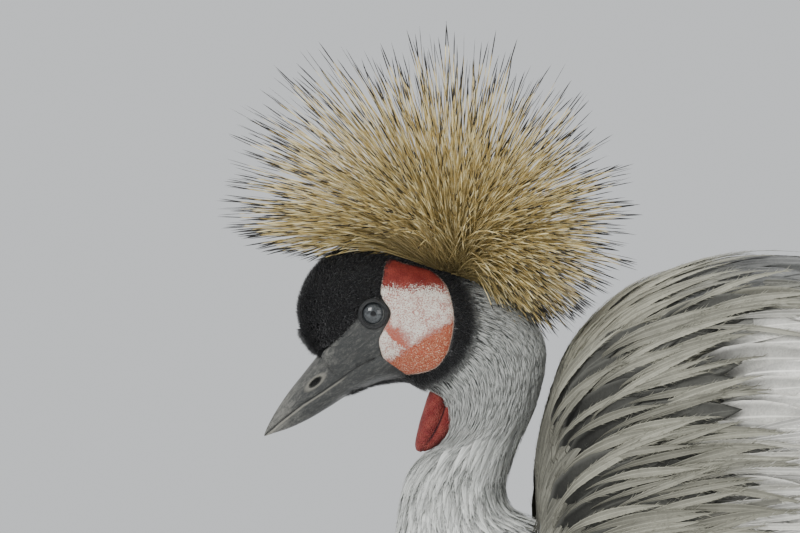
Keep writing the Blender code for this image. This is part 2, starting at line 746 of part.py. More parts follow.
def build_tail(torso, looks):
    """Tail feathers fanned a little from a short root, the middle pair on top."""
    way = Vector((math.cos(TAIL_DROP), 0, -math.sin(TAIL_DROP)))
    up = Vector((math.sin(TAIL_DROP), 0, math.cos(TAIL_DROP)))
    rings = []
    for share, wide, thick in ((0, 0.010, 0.008), (0.16, 0.013, 0.007), (0.28, 0.012, 0.004)):
        rings.append(oval(TAIL_ROOT + way * TAIL_LENGTH * share, up * thick, Vector((0, wide, 0)), 14))
    core = clear_of(loft("tail", rings, looks["dark"]), torso)
    vanes = []
    for i in range(-3, 4):
        spread = TAIL_SPREAD * i / 3
        heading = way * math.cos(spread) + Vector((0, math.sin(spread), 0))
        height = up * (0.0040 - 0.0023 * abs(i))
        length = TAIL_LENGTH * (1 - 0.012 * abs(i))
        start = TAIL_ROOT + Vector((0, 0.0030 * i, 0)) + height
        points = [start + heading * length * part for part in (0.16, 0.45, 0.78, 1.0)]
        vanes.append(vane(points, [up] * 4, 0.0110, looks["dark"]))
    return fuse("tail", [core] + vanes, "MANIFOLD")


LEG_SIDE = 0.045
THIGH = ((-0.015, 0.455, 0.034), (-0.014, 0.410, 0.030), (-0.005, 0.370, 0.021), (0.006, 0.335, 0.0125),
         (0.012, 0.305, 0.0095))
SHANK = ((0.012, 0.3047, 0.0075), (0.020, 0.255, 0.0065), (0.026, 0.222, 0.0090), (0.027, 0.208, 0.0105),
         (0.025, 0.192, 0.0080), (0.019, 0.150, 0.0058), (0.009, 0.070, 0.0056), (0.003, 0.030, 0.0070))
TOE_SHAPE = ((0.0, 1.2), (0.3, 1.05), (0.6, 0.95), (0.85, 0.85), (0.95, 0.45), (1.0, 0.12))  # share, size
TOES = ((0, 0.085, 0.0052), (36, 0.066, 0.0046), (-36, 0.068, 0.0046), (180, 0.040, 0.0042))


def leg_tube(name, side, rows, look, rings, sides):
    rows = smooth_rows(rows, rings)
    path = [Vector((x, side * LEG_SIDE, z)) for x, z, _ in rows]
    return tube(name, path, [r for _, _, r in rows], look, sides)


def build_leg(prefix, side, torso, looks):
    thigh = leg_tube(prefix + "_thigh", side, THIGH, looks["pale grey"], 9, 14)
    clear_of(thigh, torso)
    shank = leg_tube(prefix + "_shank", side, SHANK, looks["leg"], 12, 10)
    pad = Vector((0.002, side * LEG_SIDE, 0.010))
    pieces = [ball("pad", pad, (0.011, 0.010, 0.012), looks["leg"], 12, 8)]
    for turn, length, radius in TOES:
        way = Vector((-math.cos(math.radians(turn)), side * math.sin(math.radians(turn)), 0))
        path, radii = [], []
        for share, size in TOE_SHAPE:
            height = Vector((0, 0, radius * size * 0.85))
            path.append(Vector((pad.x, pad.y, 0)) + way * length * share + height)
            radii.append(radius * size)
        pieces.append(tube("toe", path, radii, looks["leg"], 6))
    foot = fuse(prefix + "_foot", pieces)
    sliced(foot, Vector((0, 0, 0)), Vector((0, 0, -1)))
    clear_of(foot, shank)


def main():
    clear_scene()
    looks = {
        "black": material("black velvet", (0.012, 0.012, 0.013), 0.9),
        "horn": material("slate horn", (0.10, 0.105, 0.10), 0.5),
        "eye": material("grey eye", (0.16, 0.18, 0.20), 0.1),
        "red": material("red skin", (0.45, 0.05, 0.04), 0.6),
        "straw": material("straw bristle", (0.55, 0.42, 0.16), 0.5),
        "pale grey": material("pale grey down", (0.45, 0.47, 0.47), 0.85),
        "grey": material("grey plume", (0.30, 0.31, 0.30), 0.8),
        "white": material("wing white", (0.78, 0.77, 0.72), 0.75),
        "dark": material("dark quill", (0.05, 0.025, 0.018), 0.6),
        "leg": material("black leg", (0.02, 0.02, 0.022), 0.6),
    }
    head, upper_neck, lower_neck = build_head_and_neck(looks)
    head_room = grown(head, GAP, "head room")
    build_bill(head, looks)
    cheeks = build_cheeks(head, looks)
    build_eyes(head, looks)
    build_wattle(head, upper_neck, looks)
    torso = build_torso(lower_neck, looks)
    build_tail(torso, looks)
    for side, prefix in ((-1, "left"), (1, "right")):
        build_wing(prefix + "_wing", side, torso, looks)
        build_leg(prefix, side, torso, looks)
    add_mantle(torso, looks)
    add_neck_plumes(lower_neck, looks)
    build_crest(head_room, upper_neck, cheeks, looks)


main()
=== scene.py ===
import math

import bmesh
import bpy
import numpy as np
from mathutils import Matrix, Vector
from mathutils.bvhtree import BVHTree
from mathutils.kdtree import KDTree


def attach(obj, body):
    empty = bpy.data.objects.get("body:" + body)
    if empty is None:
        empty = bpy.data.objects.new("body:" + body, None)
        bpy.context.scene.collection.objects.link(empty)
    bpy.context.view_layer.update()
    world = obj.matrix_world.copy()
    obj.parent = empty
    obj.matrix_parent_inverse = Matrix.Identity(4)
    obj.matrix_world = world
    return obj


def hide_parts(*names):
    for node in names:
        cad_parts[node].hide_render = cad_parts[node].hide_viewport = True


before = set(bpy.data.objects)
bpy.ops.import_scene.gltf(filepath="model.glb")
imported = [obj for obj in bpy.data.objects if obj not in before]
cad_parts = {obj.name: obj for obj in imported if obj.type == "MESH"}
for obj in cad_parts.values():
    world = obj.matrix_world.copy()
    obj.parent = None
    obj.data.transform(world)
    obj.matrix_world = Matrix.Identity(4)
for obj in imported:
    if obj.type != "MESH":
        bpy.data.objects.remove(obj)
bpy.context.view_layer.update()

# Skin of the whole bird.
# The flesh under the feathers, from the brow to the root of the tail and down both thighs.
# It is one closed hide, so that no seam shows where the feathers part.
EYE = Vector((-0.247, 0.0, 0.600))
HEAD_RIBS = (  # back point (x, z), throat point (x, z) and half width, all from the eye
    (-0.0394, -0.0092, -0.0302, -0.0211, 0.0060),  # front edge of the velvet cap
    (-0.0413, 0.0027, -0.0248, -0.0335, 0.0140),  # forehead
    (-0.0351, 0.0211, -0.0157, -0.0448, 0.0200),  # brow and chin
    (-0.0178, 0.0340, 0.0005, -0.0389, 0.0235),
    (0.0070, 0.0324, 0.0167, -0.0367, 0.0245),  # crown
    (0.0340, 0.0248, 0.0259, -0.0410, 0.0240),  # root of the crest
    (0.0626, 0.0130, 0.0346, -0.0448, 0.0220),  # nape
    (0.0859, -0.0016, 0.0394, -0.0524, 0.0205),  # bend of the neck
    (0.0934, -0.0221, 0.0400, -0.0610, 0.0205),
    (0.0880, -0.0497, 0.0356, -0.0707, 0.0205),
    (0.0767, -0.0734, 0.0248, -0.0778, 0.0220),
    (0.0705, -0.0940, 0.0157, -0.0977, 0.0270),  # foot of the neck
    (0.0740, -0.1058, 0.0130, -0.1226, 0.0350),
    (0.0832, -0.1102, 0.0151, -0.1485, 0.0430),  # meets the breast
)
TORSO_SECTIONS = (  # x, back z, belly z, half width
    (-0.2338, 0.4530, 0.4450, 0.006),
    (-0.2165, 0.4765, 0.4193, 0.038),
    (-0.1787, 0.4889, 0.3982, 0.060),
    (-0.1647, 0.4927, 0.3950, 0.065),  # hollow where the neck meets the mantle
    (-0.1550, 0.5380, 0.3934, 0.069),
    (-0.1393, 0.5845, 0.3917, 0.074),
    (-0.1004, 0.6180, 0.3901, 0.080),
    (-0.0383, 0.6330, 0.3917, 0.082),  # top of the back
    (0.0373, 0.6256, 0.4079, 0.076),
    (0.1129, 0.5986, 0.4382, 0.058),
    (0.1723, 0.5618, 0.4668, 0.033),
    (0.1993, 0.5370, 0.4830, 0.008),  # root of the tail
)
THIGH = (  # x, z, radius
    (-0.015, 0.455, 0.032), (-0.014, 0.410, 0.028), (-0.005, 0.370, 0.019), (0.006, 0.335, 0.0110),
    (0.012, 0.307, 0.0082),
)
LEG_SIDE = 0.045
BODY_POWER = 2.2
HEAD_FUR, NECK_COAT, BODY_COAT, THIGH_COAT = 0.0012, 0.0032, 0.0085, 0.0015
BELLY_COAT = 0.0050
SKIN_GRAIN = 0.0024  # size of the hide's mesh
VELVET_BLACK = (0.006, 0.006, 0.0068)
NECK_GREY = (0.47, 0.48, 0.455)
# near black: painted shade under the mantle's plumes, seen in the gaps between them
MANTLE_SHADE_GREY = (0.072, 0.072, 0.063)
BELLY_GREY = (0.36, 0.37, 0.37)
HIDE_GAP_SHADE, HIDE_BACK, HIDE_NECK = 0.62, 0.42, 0.20  # painted shade of the hide in the gaps between feathers: all over, darker on the back, lighter on the neck
BLACK_MIDDLE = (0.018, -0.004)  # of the round of black behind the eye, from the eye
BLACK_REACH = 0.0385
BLACK_FADE = (0.84, 1.05)  # shares of that reach between which it turns grey
BLACK_FRONT = (0.006, 0.016)  # behind the eye, where the grey may begin
NECK_COAT_FROM = (0.36, 0.46)  # shares of the head and neck between which the coat thickens
BACK_X, BACK_Z = (-0.172, -0.160), (0.465, 0.500)  # where the back begins
NECK_X = (-0.200, -0.172)  # where the foot of the neck ends
TURNS = 64  # sides of the rings of the hide
SIDES = ((-1, "left"), (1, "right"))


def smooth_rows(rows, count):
    """Rows at even shares of the run through the given rows, without overshoot."""
    rows = np.asarray(rows, float)
    steps = np.linalg.norm(np.diff(rows[:, :2], axis=0), axis=1)
    if rows.shape[1] > 4:
        steps = np.maximum(steps, np.linalg.norm(np.diff(rows[:, 2:4], axis=0), axis=1))
    knots = np.concatenate([[0.0], np.cumsum(steps)]) / steps.sum()
    slopes = np.diff(rows, axis=0) / np.diff(knots)[:, None]
    tangents = np.zeros_like(rows)
    same_way = slopes[:-1] * slopes[1:] > 0
    mean = 2 * slopes[:-1] * slopes[1:] / np.where(same_way, slopes[:-1] + slopes[1:], 1)
    tangents[1:-1] = np.where(same_way, mean, 0)
    tangents[0], tangents[-1] = slopes[0], slopes[-1]
    at = np.linspace(0, 1, count)
    place = np.clip(np.searchsorted(knots, at, side="right") - 1, 0, len(knots) - 2)
    span = (knots[place + 1] - knots[place])[:, None]
    part = (at[:, None] - knots[place][:, None]) / span
    return (
        rows[place] * (2 * part**3 - 3 * part**2 + 1)
        + tangents[place] * span * (part**3 - 2 * part**2 + part)
        + rows[place + 1] * (3 * part**2 - 2 * part**3)
        + tangents[place + 1] * span * (part**3 - part**2)
    )


BODY = smooth_rows(TORSO_SECTIONS, 241)
NECK = smooth_rows(HEAD_RIBS, 241)


def at_share(rows, share):
    place = np.clip(share, 0, 1) * (len(rows) - 1)
    low = np.minimum(place.astype(int), len(rows) - 2)
    return rows[low] + (rows[low + 1] - rows[low]) * (place - low)[..., None]


def body_surface(share, angle):
    """Points of the torso's outline: angle 0 is the spine, and a positive one is to the right."""
    x, top, bottom, width = np.moveaxis(at_share(BODY, share), -1, 0)
    c, s = np.cos(angle), np.sin(angle)
    up = np.sign(c) * np.abs(c) ** (2 / BODY_POWER) * (top - bottom) / 2
    out = np.sign(s) * np.abs(s) ** (2 / BODY_POWER) * width
    return np.stack([x, out, (top + bottom) / 2 + up], axis=-1)


def neck_surface(share, angle):
    """Points of the head and neck: angle 0 is the back, and a positive one is to the right."""
    bx, bz, tx, tz, width = np.moveaxis(at_share(NECK, share), -1, 0)
    c, s = np.cos(angle), np.sin(angle)
    x = EYE.x + (bx + tx) / 2 + (bx - tx) / 2 * c
    z = EYE.z + (bz + tz) / 2 + (bz - tz) / 2 * c
    return np.stack([x, width * s, z], axis=-1)


THIGH_ROWS = smooth_rows(THIGH, 61)


def thigh_of(side):
    """The outline of one thigh."""

    def surface(share, angle):
        x, z, radius = np.moveaxis(at_share(THIGH_ROWS, share), -1, 0)
        return np.stack([x + radius * np.cos(angle), side * (LEG_SIDE + radius * np.sin(angle)), z], axis=-1)

    return surface


def unit(vectors):
    return vectors / np.maximum(np.linalg.norm(vectors, axis=-1, keepdims=True), 1e-12)


def surface_frame(surface, share, angle):
    """Point, way out, and the rates of travel along and around the surface."""
    share, angle = np.asarray(share, float), np.asarray(angle, float)
    low, high = np.clip(share - 0.006, 0, 1), np.clip(share + 0.006, 0, 1)
    along = (surface(high, angle) - surface(low, angle)) / (high - low)[..., None]
    around = (surface(share, angle + 0.03) - surface(share, angle - 0.03)) / 0.06
    out = unit(np.cross(along, around))
    return surface(share, angle), out, along, around


def fade(value, low, high):
    part = np.clip((value - low) / (high - low), 0, 1)
    return part * part * (3 - 2 * part)


def body_depth(share, angle):
    """Depth of the coat over the torso: most on the back, less on the belly, none at the ends."""
    ends = fade(share, 0.0, 0.12) * fade(share, 1.0, 0.88)
    back = fade(np.abs(angle), math.radians(128), math.radians(100))
    return (BELLY_COAT + (BODY_COAT - BELLY_COAT) * back) * ends


def neck_depth(share):
    return HEAD_FUR + (NECK_COAT - HEAD_FUR) * fade(share, *NECK_COAT_FROM)


def loft(rings):
    """A closed body through rings of points, made by extruding the first ring's edges."""
    bm = bmesh.new()
    row = bmesh.ops.create_circle(bm, segments=len(rings[0]), radius=1.0)["verts"]
    for vert, point in zip(row, rings[0]):
        vert.co = point
    first = edges = list(bm.edges)
    for ring in rings[1:]:
        out = bmesh.ops.extrude_edge_only(bm, edges=edges)["geom"]
        fresh = {v for v in out if isinstance(v, bmesh.types.BMVert)}
        row = [next(e.other_vert(v) for e in v.link_edges if e.other_vert(v) in fresh) for v in row]
        for vert, point in zip(row, ring):
            vert.co = point
        edges = [e for e in out if isinstance(e, bmesh.types.BMEdge) and set(e.verts) <= fresh]
    bmesh.ops.contextual_create(bm, geom=first)
    bmesh.ops.contextual_create(bm, geom=edges)
    bmesh.ops.triangulate(bm, faces=[f for f in bm.faces if len(f.verts) > 4])
    bmesh.ops.recalc_face_normals(bm, faces=bm.faces)
    return bm


def dress(name, mesh, finish, *nodes, material_slot):
    """Links a finished mesh, rides it on the bird and hides the solids it stands in for."""
    mesh.materials.append(finish)
    obj = bpy.data.objects.new(name, mesh)
    bpy.context.scene.collection.objects.link(obj)
    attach(obj, "root")
    if nodes:
        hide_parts(*nodes)
    return obj


def place(bm, name, finish, *nodes, material_slot):
    """A smooth piece of the bird, made from a bmesh."""
    mesh = bpy.data.meshes.new(name)
    bm.to_mesh(mesh)
    bm.free()
    mesh.shade_smooth()
    return dress(name, mesh, finish, *nodes, material_slot=material_slot)


def rings_of(surface, shares, turns, depth):
    share, angle = np.meshgrid(shares, turns, indexing="ij")
    point, out, _, _ = surface_frame(surface, share, angle)
    return point - out * depth(share, angle)[..., None]


def merged(*bodies):
    """Several closed bodies in one bmesh."""
    whole = bmesh.new()
    for bm in bodies:
        spare = bpy.data.meshes.new("spare")
        bm.to_mesh(spare)
        bm.free()
        whole.from_mesh(spare)
        bpy.data.meshes.remove(spare)
    return whole


def knit(obj, grain, soften=0):
    """Turns overlapping bodies into one closed surface of even grain."""
    remesh = obj.modifiers.new("knit", "REMESH")
    remesh.mode = "VOXEL"
    remesh.voxel_size = grain
    remesh.use_smooth_shade = True
    if soften:
        smooth = obj.modifiers.new("soften", "SMOOTH")
        smooth.factor = 0.5
        smooth.iterations = soften
    graph = bpy.context.evaluated_depsgraph_get()
    graph.update()
    mesh = bpy.data.meshes.new_from_object(obj.evaluated_get(graph))
    obj.modifiers.clear()
    old, obj.data = obj.data, mesh
    bpy.data.meshes.remove(old)
    return obj


def mark(mesh, name, kind, key, values, domain="POINT"):
    """Stores values on the points or edges of a mesh, for its material to read."""
    mesh.attributes.new(name, kind, domain).data.foreach_set(key, np.ravel(values))


def points_of(obj):
    return np.array([v.co for v in obj.data.vertices])


def from_eye(points):
    """How far points lie behind and above the eye, seen from the side."""
    return points[..., 0] - EYE.x, points[..., 2] - EYE.z


turns = np.linspace(0, 2 * math.pi, TURNS, endpoint=False)
signed_turns = np.where(turns > math.pi, turns - 2 * math.pi, turns)
bodies = [
    loft(rings_of(body_surface, np.linspace(0, 1, 90), signed_turns, body_depth)),
    loft(rings_of(neck_surface, np.linspace(0, 1, 100), turns, lambda share, angle: neck_depth(share))),
]
for side, _ in SIDES:
    bodies.append(loft(rings_of(thigh_of(side), np.linspace(0, 1, 24), turns[::2],
                                lambda share, angle: THIGH_COAT + 0 * share)))


def wire(tree, output, target):
    """Links an output, or sets a plain value, on a node's input."""
    if isinstance(output, bpy.types.NodeSocket):
        tree.links.new(output, target)
    else:
        target.default_value = output


def sums(tree, operation, *terms):
    made = tree.nodes.new("ShaderNodeMath")
    made.operation = operation
    for slot, value in zip(made.inputs, terms):
        wire(tree, value, slot)
    return made.outputs[0]


def times(tree, a, b):
    return sums(tree, "MULTIPLY", a, b)


def around_half(tree, value):
    """A value that runs to both sides of zero, from one that runs to both sides of a half."""
    return sums(tree, "SUBTRACT", value, 0.5)


def spread(tree, value, low, high, to_low=0.0, to_high=1.0):
    made = tree.nodes.new("ShaderNodeMapRange")
    made.interpolation_type = "SMOOTHSTEP"
    for key, item in enumerate((value, low, high, to_low, to_high)):
        wire(tree, item, made.inputs[key])
    return made.outputs[0]


def blend(tree, share, a, b, mode="MIX"):
    made = tree.nodes.new("ShaderNodeMix")
    made.data_type = "RGBA"
    made.blend_type = mode
    wire(tree, share, made.inputs[0])
    wire(tree, a, made.inputs[6])
    wire(tree, b, made.inputs[7])
    return made.outputs[2]


def shaded(tree, colour, value):
    """A colour made lighter or darker all over by a value."""
    grey = tree.nodes.new("ShaderNodeCombineColor")
    for slot in grey.inputs:
        wire(tree, value, slot)
    return blend(tree, 1.0, colour, grey.outputs[0], "MULTIPLY")


def attribute(tree, name, output):
    made = tree.nodes.new("ShaderNodeAttribute")
    made.attribute_name = name
    return made.outputs[output]


def where(tree):
    return tree.nodes.new("ShaderNodeTexCoord").outputs["Object"]


def split(tree, vector):
    """The X, Y and Z of a vector."""
    made = tree.nodes.new("ShaderNodeSeparateXYZ")
    tree.links.new(vector, made.inputs[0])
    return made.outputs[:]


def mapped(tree, key, value, at=None):
    """Places turned or stretched for a texture."""
    made = tree.nodes.new("ShaderNodeMapping")
    made.inputs[key].default_value = value
    wire(tree, at or where(tree), made.inputs["Vector"])
    return made.outputs[0]


def noise(tree, scale, detail=3.0, rough=0.55, at=None):
    made = tree.nodes.new("ShaderNodeTexNoise")
    wire(tree, at or where(tree), made.inputs["Vector"])
    made.inputs["Scale"].default_value = scale
    made.inputs["Detail"].default_value = detail
    made.inputs["Roughness"].default_value = rough
    return made.outputs[0]


def pebbles(tree, scale, at=None):
    """How far each place lies from the middle of its pebble or scale."""
    made = tree.nodes.new("ShaderNodeTexVoronoi")
    made.inputs["Scale"].default_value = scale
    wire(tree, at or where(tree), made.inputs["Vector"])
    return made.outputs["Distance"]


def finish_of(name, roughness, specular=0.35, sheen=0.0, coat=0.0):
    """A new material: its tree and shader, with the values that are the same all over."""
    made = bpy.data.materials.new(name)
    made.use_nodes = True
    shader = made.node_tree.nodes["Principled BSDF"]
    shader.inputs["Roughness"].default_value = roughness
    shader.inputs["Specular IOR Level"].default_value = specular
    shader.inputs["Sheen Weight"].default_value = sheen
    shader.inputs["Sheen Roughness"].default_value = 0.5
    shader.inputs["Coat Weight"].default_value = coat
    shader.inputs["Coat Roughness"].default_value = 0.06
    return made, made.node_tree, shader


def emboss(tree, shader, height, depth, strength=1.0):
    bump = tree.nodes.new("ShaderNodeBump")
    bump.inputs["Strength"].default_value = strength
    bump.inputs["Distance"].default_value = depth
    tree.links.new(height, bump.inputs["Height"])
    tree.links.new(bump.outputs[0], shader.inputs["Normal"])


skin_finish, tree, shader = finish_of("downy skin", 0.9, 0.15)
mottle = noise(tree, 260.0, 4.0)
base = attribute(tree, "tint", "Color")
base = blend(tree, spread(tree, mottle, 0.35, 0.9, 0.0, 0.5), base, (0.0, 0.0, 0.0, 1.0))
wire(tree, base, shader.inputs["Base Color"])
emboss(tree, shader, mottle, 0.0008)

skin = place(merged(*bodies), "skin", skin_finish, "head", "upper_neck", "lower_neck", "torso", "left_thigh",
             "right_thigh", material_slot="down")
knit(skin, SKIN_GRAIN, 3)


def grey_share(points):
    """Where the black of the head has given way to grey: past a rounded edge behind the cheek."""
    x, z = from_eye(points)
    off = np.hypot(x - BLACK_MIDDLE[0], z - BLACK_MIDDLE[1]) / BLACK_REACH
    return fade(off, *BLACK_FADE) * fade(x, *BLACK_FRONT)


def neck_tint(share, angle, points):
    """Colour of the head and neck: black velvet, then pale grey from behind the cheek."""
    grey = grey_share(points)[..., None]
    low = fade(share, 0.62, 0.95)[..., None]
    pale = np.array(NECK_GREY) * (1 + 0.25 * low)
    return np.array(VELVET_BLACK) * (1 - grey) + pale * grey


def body_tint(share, angle, points):
    """Colour of the torso: a near-black mantle as painted shade under the plumes, paler on the breast and
    belly.
    """
    under = fade(np.abs(angle), math.radians(70), math.radians(120))[..., None]
    breast = (1 - fade(share, 0.05, 0.2))[..., None]
    base = np.array(MANTLE_SHADE_GREY) * (1 - under) + np.array(BELLY_GREY) * under
    return base * (1 - breast) + np.array(NECK_GREY) * 0.95 * breast


def paint_skin(obj):
    """Gives the hide the markings of the coat over it, by the nearest place of the outline, darkened as
    painted shade between the feathers.
    """
    spots, colours = [], []
    for surface, tint in ((neck_surface, neck_tint), (body_surface, body_tint)):
        share, angle = np.meshgrid(np.linspace(0, 1, 60), signed_turns[::2], indexing="ij")
        points = surface(share, angle)
        spots.append(points.reshape(-1, 3))
        colours.append(tint(share, angle, points).reshape(-1, 3))
    spots, colours = np.concatenate(spots), np.concatenate(colours)
    tree = KDTree(len(spots))
    for i, spot in enumerate(spots):
        tree.insert(spot, i)
    tree.balance()
    co = points_of(obj)
    near = [tree.find(point)[1] for point in co]
    back = (fade(co[:, 0], *BACK_X) * fade(co[:, 2], *BACK_Z))[:, None]
    neck = (1 - fade(co[:, 0], *NECK_X))[:, None]
    rgba = np.ones((len(near), 4))
    # The coat's colours, darkened as painted shade in the gaps between the feathers: most on the back, least
    # on the neck.
    rgba[:, :3] = colours[near] * (HIDE_GAP_SHADE - HIDE_BACK * back + HIDE_NECK * neck)
    mark(obj.data, "tint", "FLOAT_COLOR", "color", rgba)


paint_skin(skin)


# Velvet of the head.
# Very short, dense black feathers over the brow, crown and nape, like plush.
# They lie back along the head and stop at the bare face, the cheek patch and the bill.
SEED = 11
CHEEK = (  # outline of the bare cheek patch, x and z from the eye
    (0.0075, 0.0308), (0.0046, 0.0200), (0.0038, 0.0101), (0.0092, 0.0005), (0.0052, -0.0088),
    (0.0027, -0.0146), (0.0041, -0.0216), (0.0076, -0.0297), (0.0151, -0.0338), (0.0248, -0.0329),
    (0.0340, -0.0297), (0.0405, -0.0210), (0.0437, -0.0065), (0.0429, 0.0054), (0.0389, 0.0167),
    (0.0302, 0.0248), (0.0167, 0.0281),
)
LORES = (  # outline of the bare grey face, x and z from the eye
    (-0.0060, 0.0060), (-0.0088, -0.0005), (-0.0115, -0.0050), (-0.0152, -0.0089), (-0.0190, -0.0130),
    (-0.0245, -0.0175), (-0.0310, -0.0205), (-0.0360, -0.0290), (-0.0290, -0.0400), (-0.0170, -0.0426),
    (-0.0040, -0.0388), (0.0110, -0.0338), (0.0052, -0.0250), (0.0040, -0.0140), (0.0080, -0.0040),
    (0.0085, 0.0030), (0.0020, 0.0085),
)
VELVET_COUNT = 30000
VELVET_LENGTH = (0.0021, 0.0038)
VELVET_END = 0.56  # share of the head and neck down to which it grows
VELVET_LIE = 0.40  # how far the tufts stray from the way along the head
VELVET_LIFTS = (-HEAD_FUR - 0.0004, 0.0003)
VELVET_WIDE, VELVET_THICK = (0.00034, 0), (0.0002, 0)
VELVET_VARIES = 0.5
FLANK_FROM = 0.006  # distance from the middle at which the sides of the head begin
EYE_CLEAR = 0.0086
FRONT_LENGTH = (0.0034, 0.0048)
FRONT_COUNT = 1700  # on the blunt front end of the cap, where it overhangs the bill
PATCH = 0.0030  # size of a tuft's place on the unwrapped skin
BLADE = ((-1, 0), (0, 1), (1, 0))
VANE = ((-1, 0), (-0.52, 0.55), (0, 1), (0.52, 0.55), (1, 0), (0, -0.5))


def strands(name, points, normals, wide, thick, section, tint, roots, finish, *nodes, material_slot,
            roll=0.0):
    """Many tapered feathers or hairs in one mesh.

    points and normals hold each strand's stations, root first and tip last; wide and thick
    are half sizes at each station; section is the shape across; roots are places on the unwrap.
    """
    points, normals = np.asarray(points), np.asarray(normals)
    count, last = points.shape[0], points.shape[1] - 1
    sides = len(section)
    ahead = unit(np.gradient(points, axis=1))[:, :last]
    side = unit(np.cross(ahead, normals[:, :last]))
    up = np.cross(side, ahead)
    roll = np.broadcast_to(roll, (count,))[:, None, None]
    side, up = side * np.cos(roll) + up * np.sin(roll), up * np.cos(roll) - side * np.sin(roll)
    section = np.array(section, float)
    wide = np.broadcast_to(wide, (count, last + 1))[:, :last, None, None]
    thick = np.broadcast_to(thick, (count, last + 1))[:, :last, None, None]
    across, high = section[:, 0][None, None, :, None], section[:, 1][None, None, :, None]
    rings = points[:, :last, None] + side[:, :, None] * across * wide + up[:, :, None] * high * thick
    size = last * sides + 1
    verts = np.concatenate([rings.reshape(count, -1, 3), points[:, last:]], axis=1)
    loops, totals = [], []
    for i in range(last - 1):
        for j in range(sides):
            k = (j + 1) % sides
            loops += [i * sides + j, i * sides + k, (i + 1) * sides + k, (i + 1) * sides + j]
            totals.append(4)
    for j in range(sides):
        loops += [(last - 1) * sides + j, (last - 1) * sides + (j + 1) % sides, size - 1]
        totals.append(3)
    loops += list(range(sides))[::-1]
    totals.append(sides)
    loops = np.array(loops)
    corners = (loops[None] + np.arange(count)[:, None] * size).ravel().astype(np.int32)
    totals = np.tile(totals, count)
    mesh = bpy.data.meshes.new(name)
    mesh.vertices.add(count * size)
    mesh.vertices.foreach_set("co", verts.ravel())
    mesh.loops.add(len(corners))
    mesh.loops.foreach_set("vertex_index", corners)
    mesh.polygons.add(len(totals))
    mesh.polygons.foreach_set("loop_start", np.concatenate([[0], np.cumsum(totals)[:-1]]).astype(np.int32))
    mesh.update(calc_edges=True)
    mesh.shade_smooth()
    if sides > 4:
        ends = np.zeros(len(mesh.edges) * 2, np.int32)
        mesh.edges.foreach_get("vertices", ends)
        spots = (ends % size) % sides
        spots = np.where(ends % size == size - 1, -1, spots).reshape(-1, 2)
        sharp = (spots[:, 0] == spots[:, 1]) & np.isin(spots[:, 0], (0, sides - 2))
        mark(mesh, "sharp_edge", "BOOLEAN", "value", sharp, "EDGE")
    lengths = np.concatenate([np.zeros((count, 1)),
                              np.cumsum(np.linalg.norm(np.diff(points, axis=1), axis=2), axis=1)], axis=1)
    place_on = np.zeros((count, size, 3))
    place_on[:, :-1, 0] = np.tile(section[:, 0], last)[None]
    place_on[:, :-1, 1] = np.repeat(lengths[:, :last], sides, axis=1)
    place_on[:, -1, 1] = lengths[:, -1]
    place_on[:, :, 2] = place_on[:, :, 1] / lengths[:, -1:]
    mark(mesh, "vane", "FLOAT_VECTOR", "vector", place_on)
    colours = np.ones((count, size, 4))
    colours[:, :, :3] = np.broadcast_to(tint, (count, 3))[:, None]
    mark(mesh, "tint", "FLOAT_COLOR", "color", colours)
    patch = np.stack([0.5 + 0.5 * place_on[:, :, 0], place_on[:, :, 2]], axis=-1) * PATCH
    spots = (np.asarray(roots)[:, None] * (1 - PATCH) + patch).reshape(-1, 2)
    layer = mesh.uv_layers.new(name="OFBake")
    layer.data.foreach_set("uv", spots[corners].astype(np.float32).ravel())
    return dress(name, mesh, finish, *nodes, material_slot=material_slot)


def scatter(surface, count, low, high, rng, keep=None):
    """Roots spread evenly by area over a stretch of a surface: shares and angles."""
    shares, angles = [], []
    got = 0
    grid = np.meshgrid(np.linspace(low, high, 60), np.linspace(-math.pi, math.pi, 48), indexing="ij")
    _, _, along, around = surface_frame(surface, *grid)
    densest = np.linalg.norm(np.cross(along, around), axis=-1).max()
    while got < count:
        share, angle = rng.uniform(low, high, count * 2), rng.uniform(-math.pi, math.pi, count * 2)
        point, _, along, around = surface_frame(surface, share, angle)
        area = np.linalg.norm(np.cross(along, around), axis=-1)
        good = rng.uniform(0, densest, count * 2) < area
        if keep is not None:
            good &= keep(share, angle, point)
        shares.append(share[good])
        angles.append(angle[good])
        got += int(good.sum())
    return np.concatenate(shares)[:count], np.concatenate(angles)[:count]


def walk(surface, share, angle, heading, length, stations):
    """Stations that travel over a surface from each root; past its end they run on straight."""
    last = 0.99
    step = length / (stations - 1)
    points, outs = [], []
    point, out, along, around = surface_frame(surface, share, angle)
    for _ in range(stations):
        points.append(point)
        outs.append(out)
        way = unit(along) * np.cos(heading)[:, None] + unit(around) * np.sin(heading)[:, None]
        onward = share + step * np.cos(heading) / np.linalg.norm(along, axis=-1)
        angle = angle + step * np.sin(heading) / np.maximum(np.linalg.norm(around, axis=-1), 0.004)
        free = onward > last
        share = np.minimum(onward, last)
        there, there_out, there_along, there_around = surface_frame(surface, share, angle)
        free = free[:, None]
        point = np.where(free, points[-1] + way * step[:, None], there)
        out = np.where(free, outs[-1], there_out)
        along, around = np.where(free, along, there_along), np.where(free, around, there_around)
    return np.stack(points, axis=1), np.stack(outs, axis=1)


def raise_off(points, outs, lifts):
    """Moves stations off the surface: one height for each station, or for each strand as well."""
    return points + outs * np.broadcast_to(lifts, points.shape[:2])[..., None]


def varied(rng, colours, amount):
    """Each strand's own colour, a little lighter or darker than its neighbours."""
    return colours * rng.uniform(1 - amount, 1 + amount, (len(colours), 1))


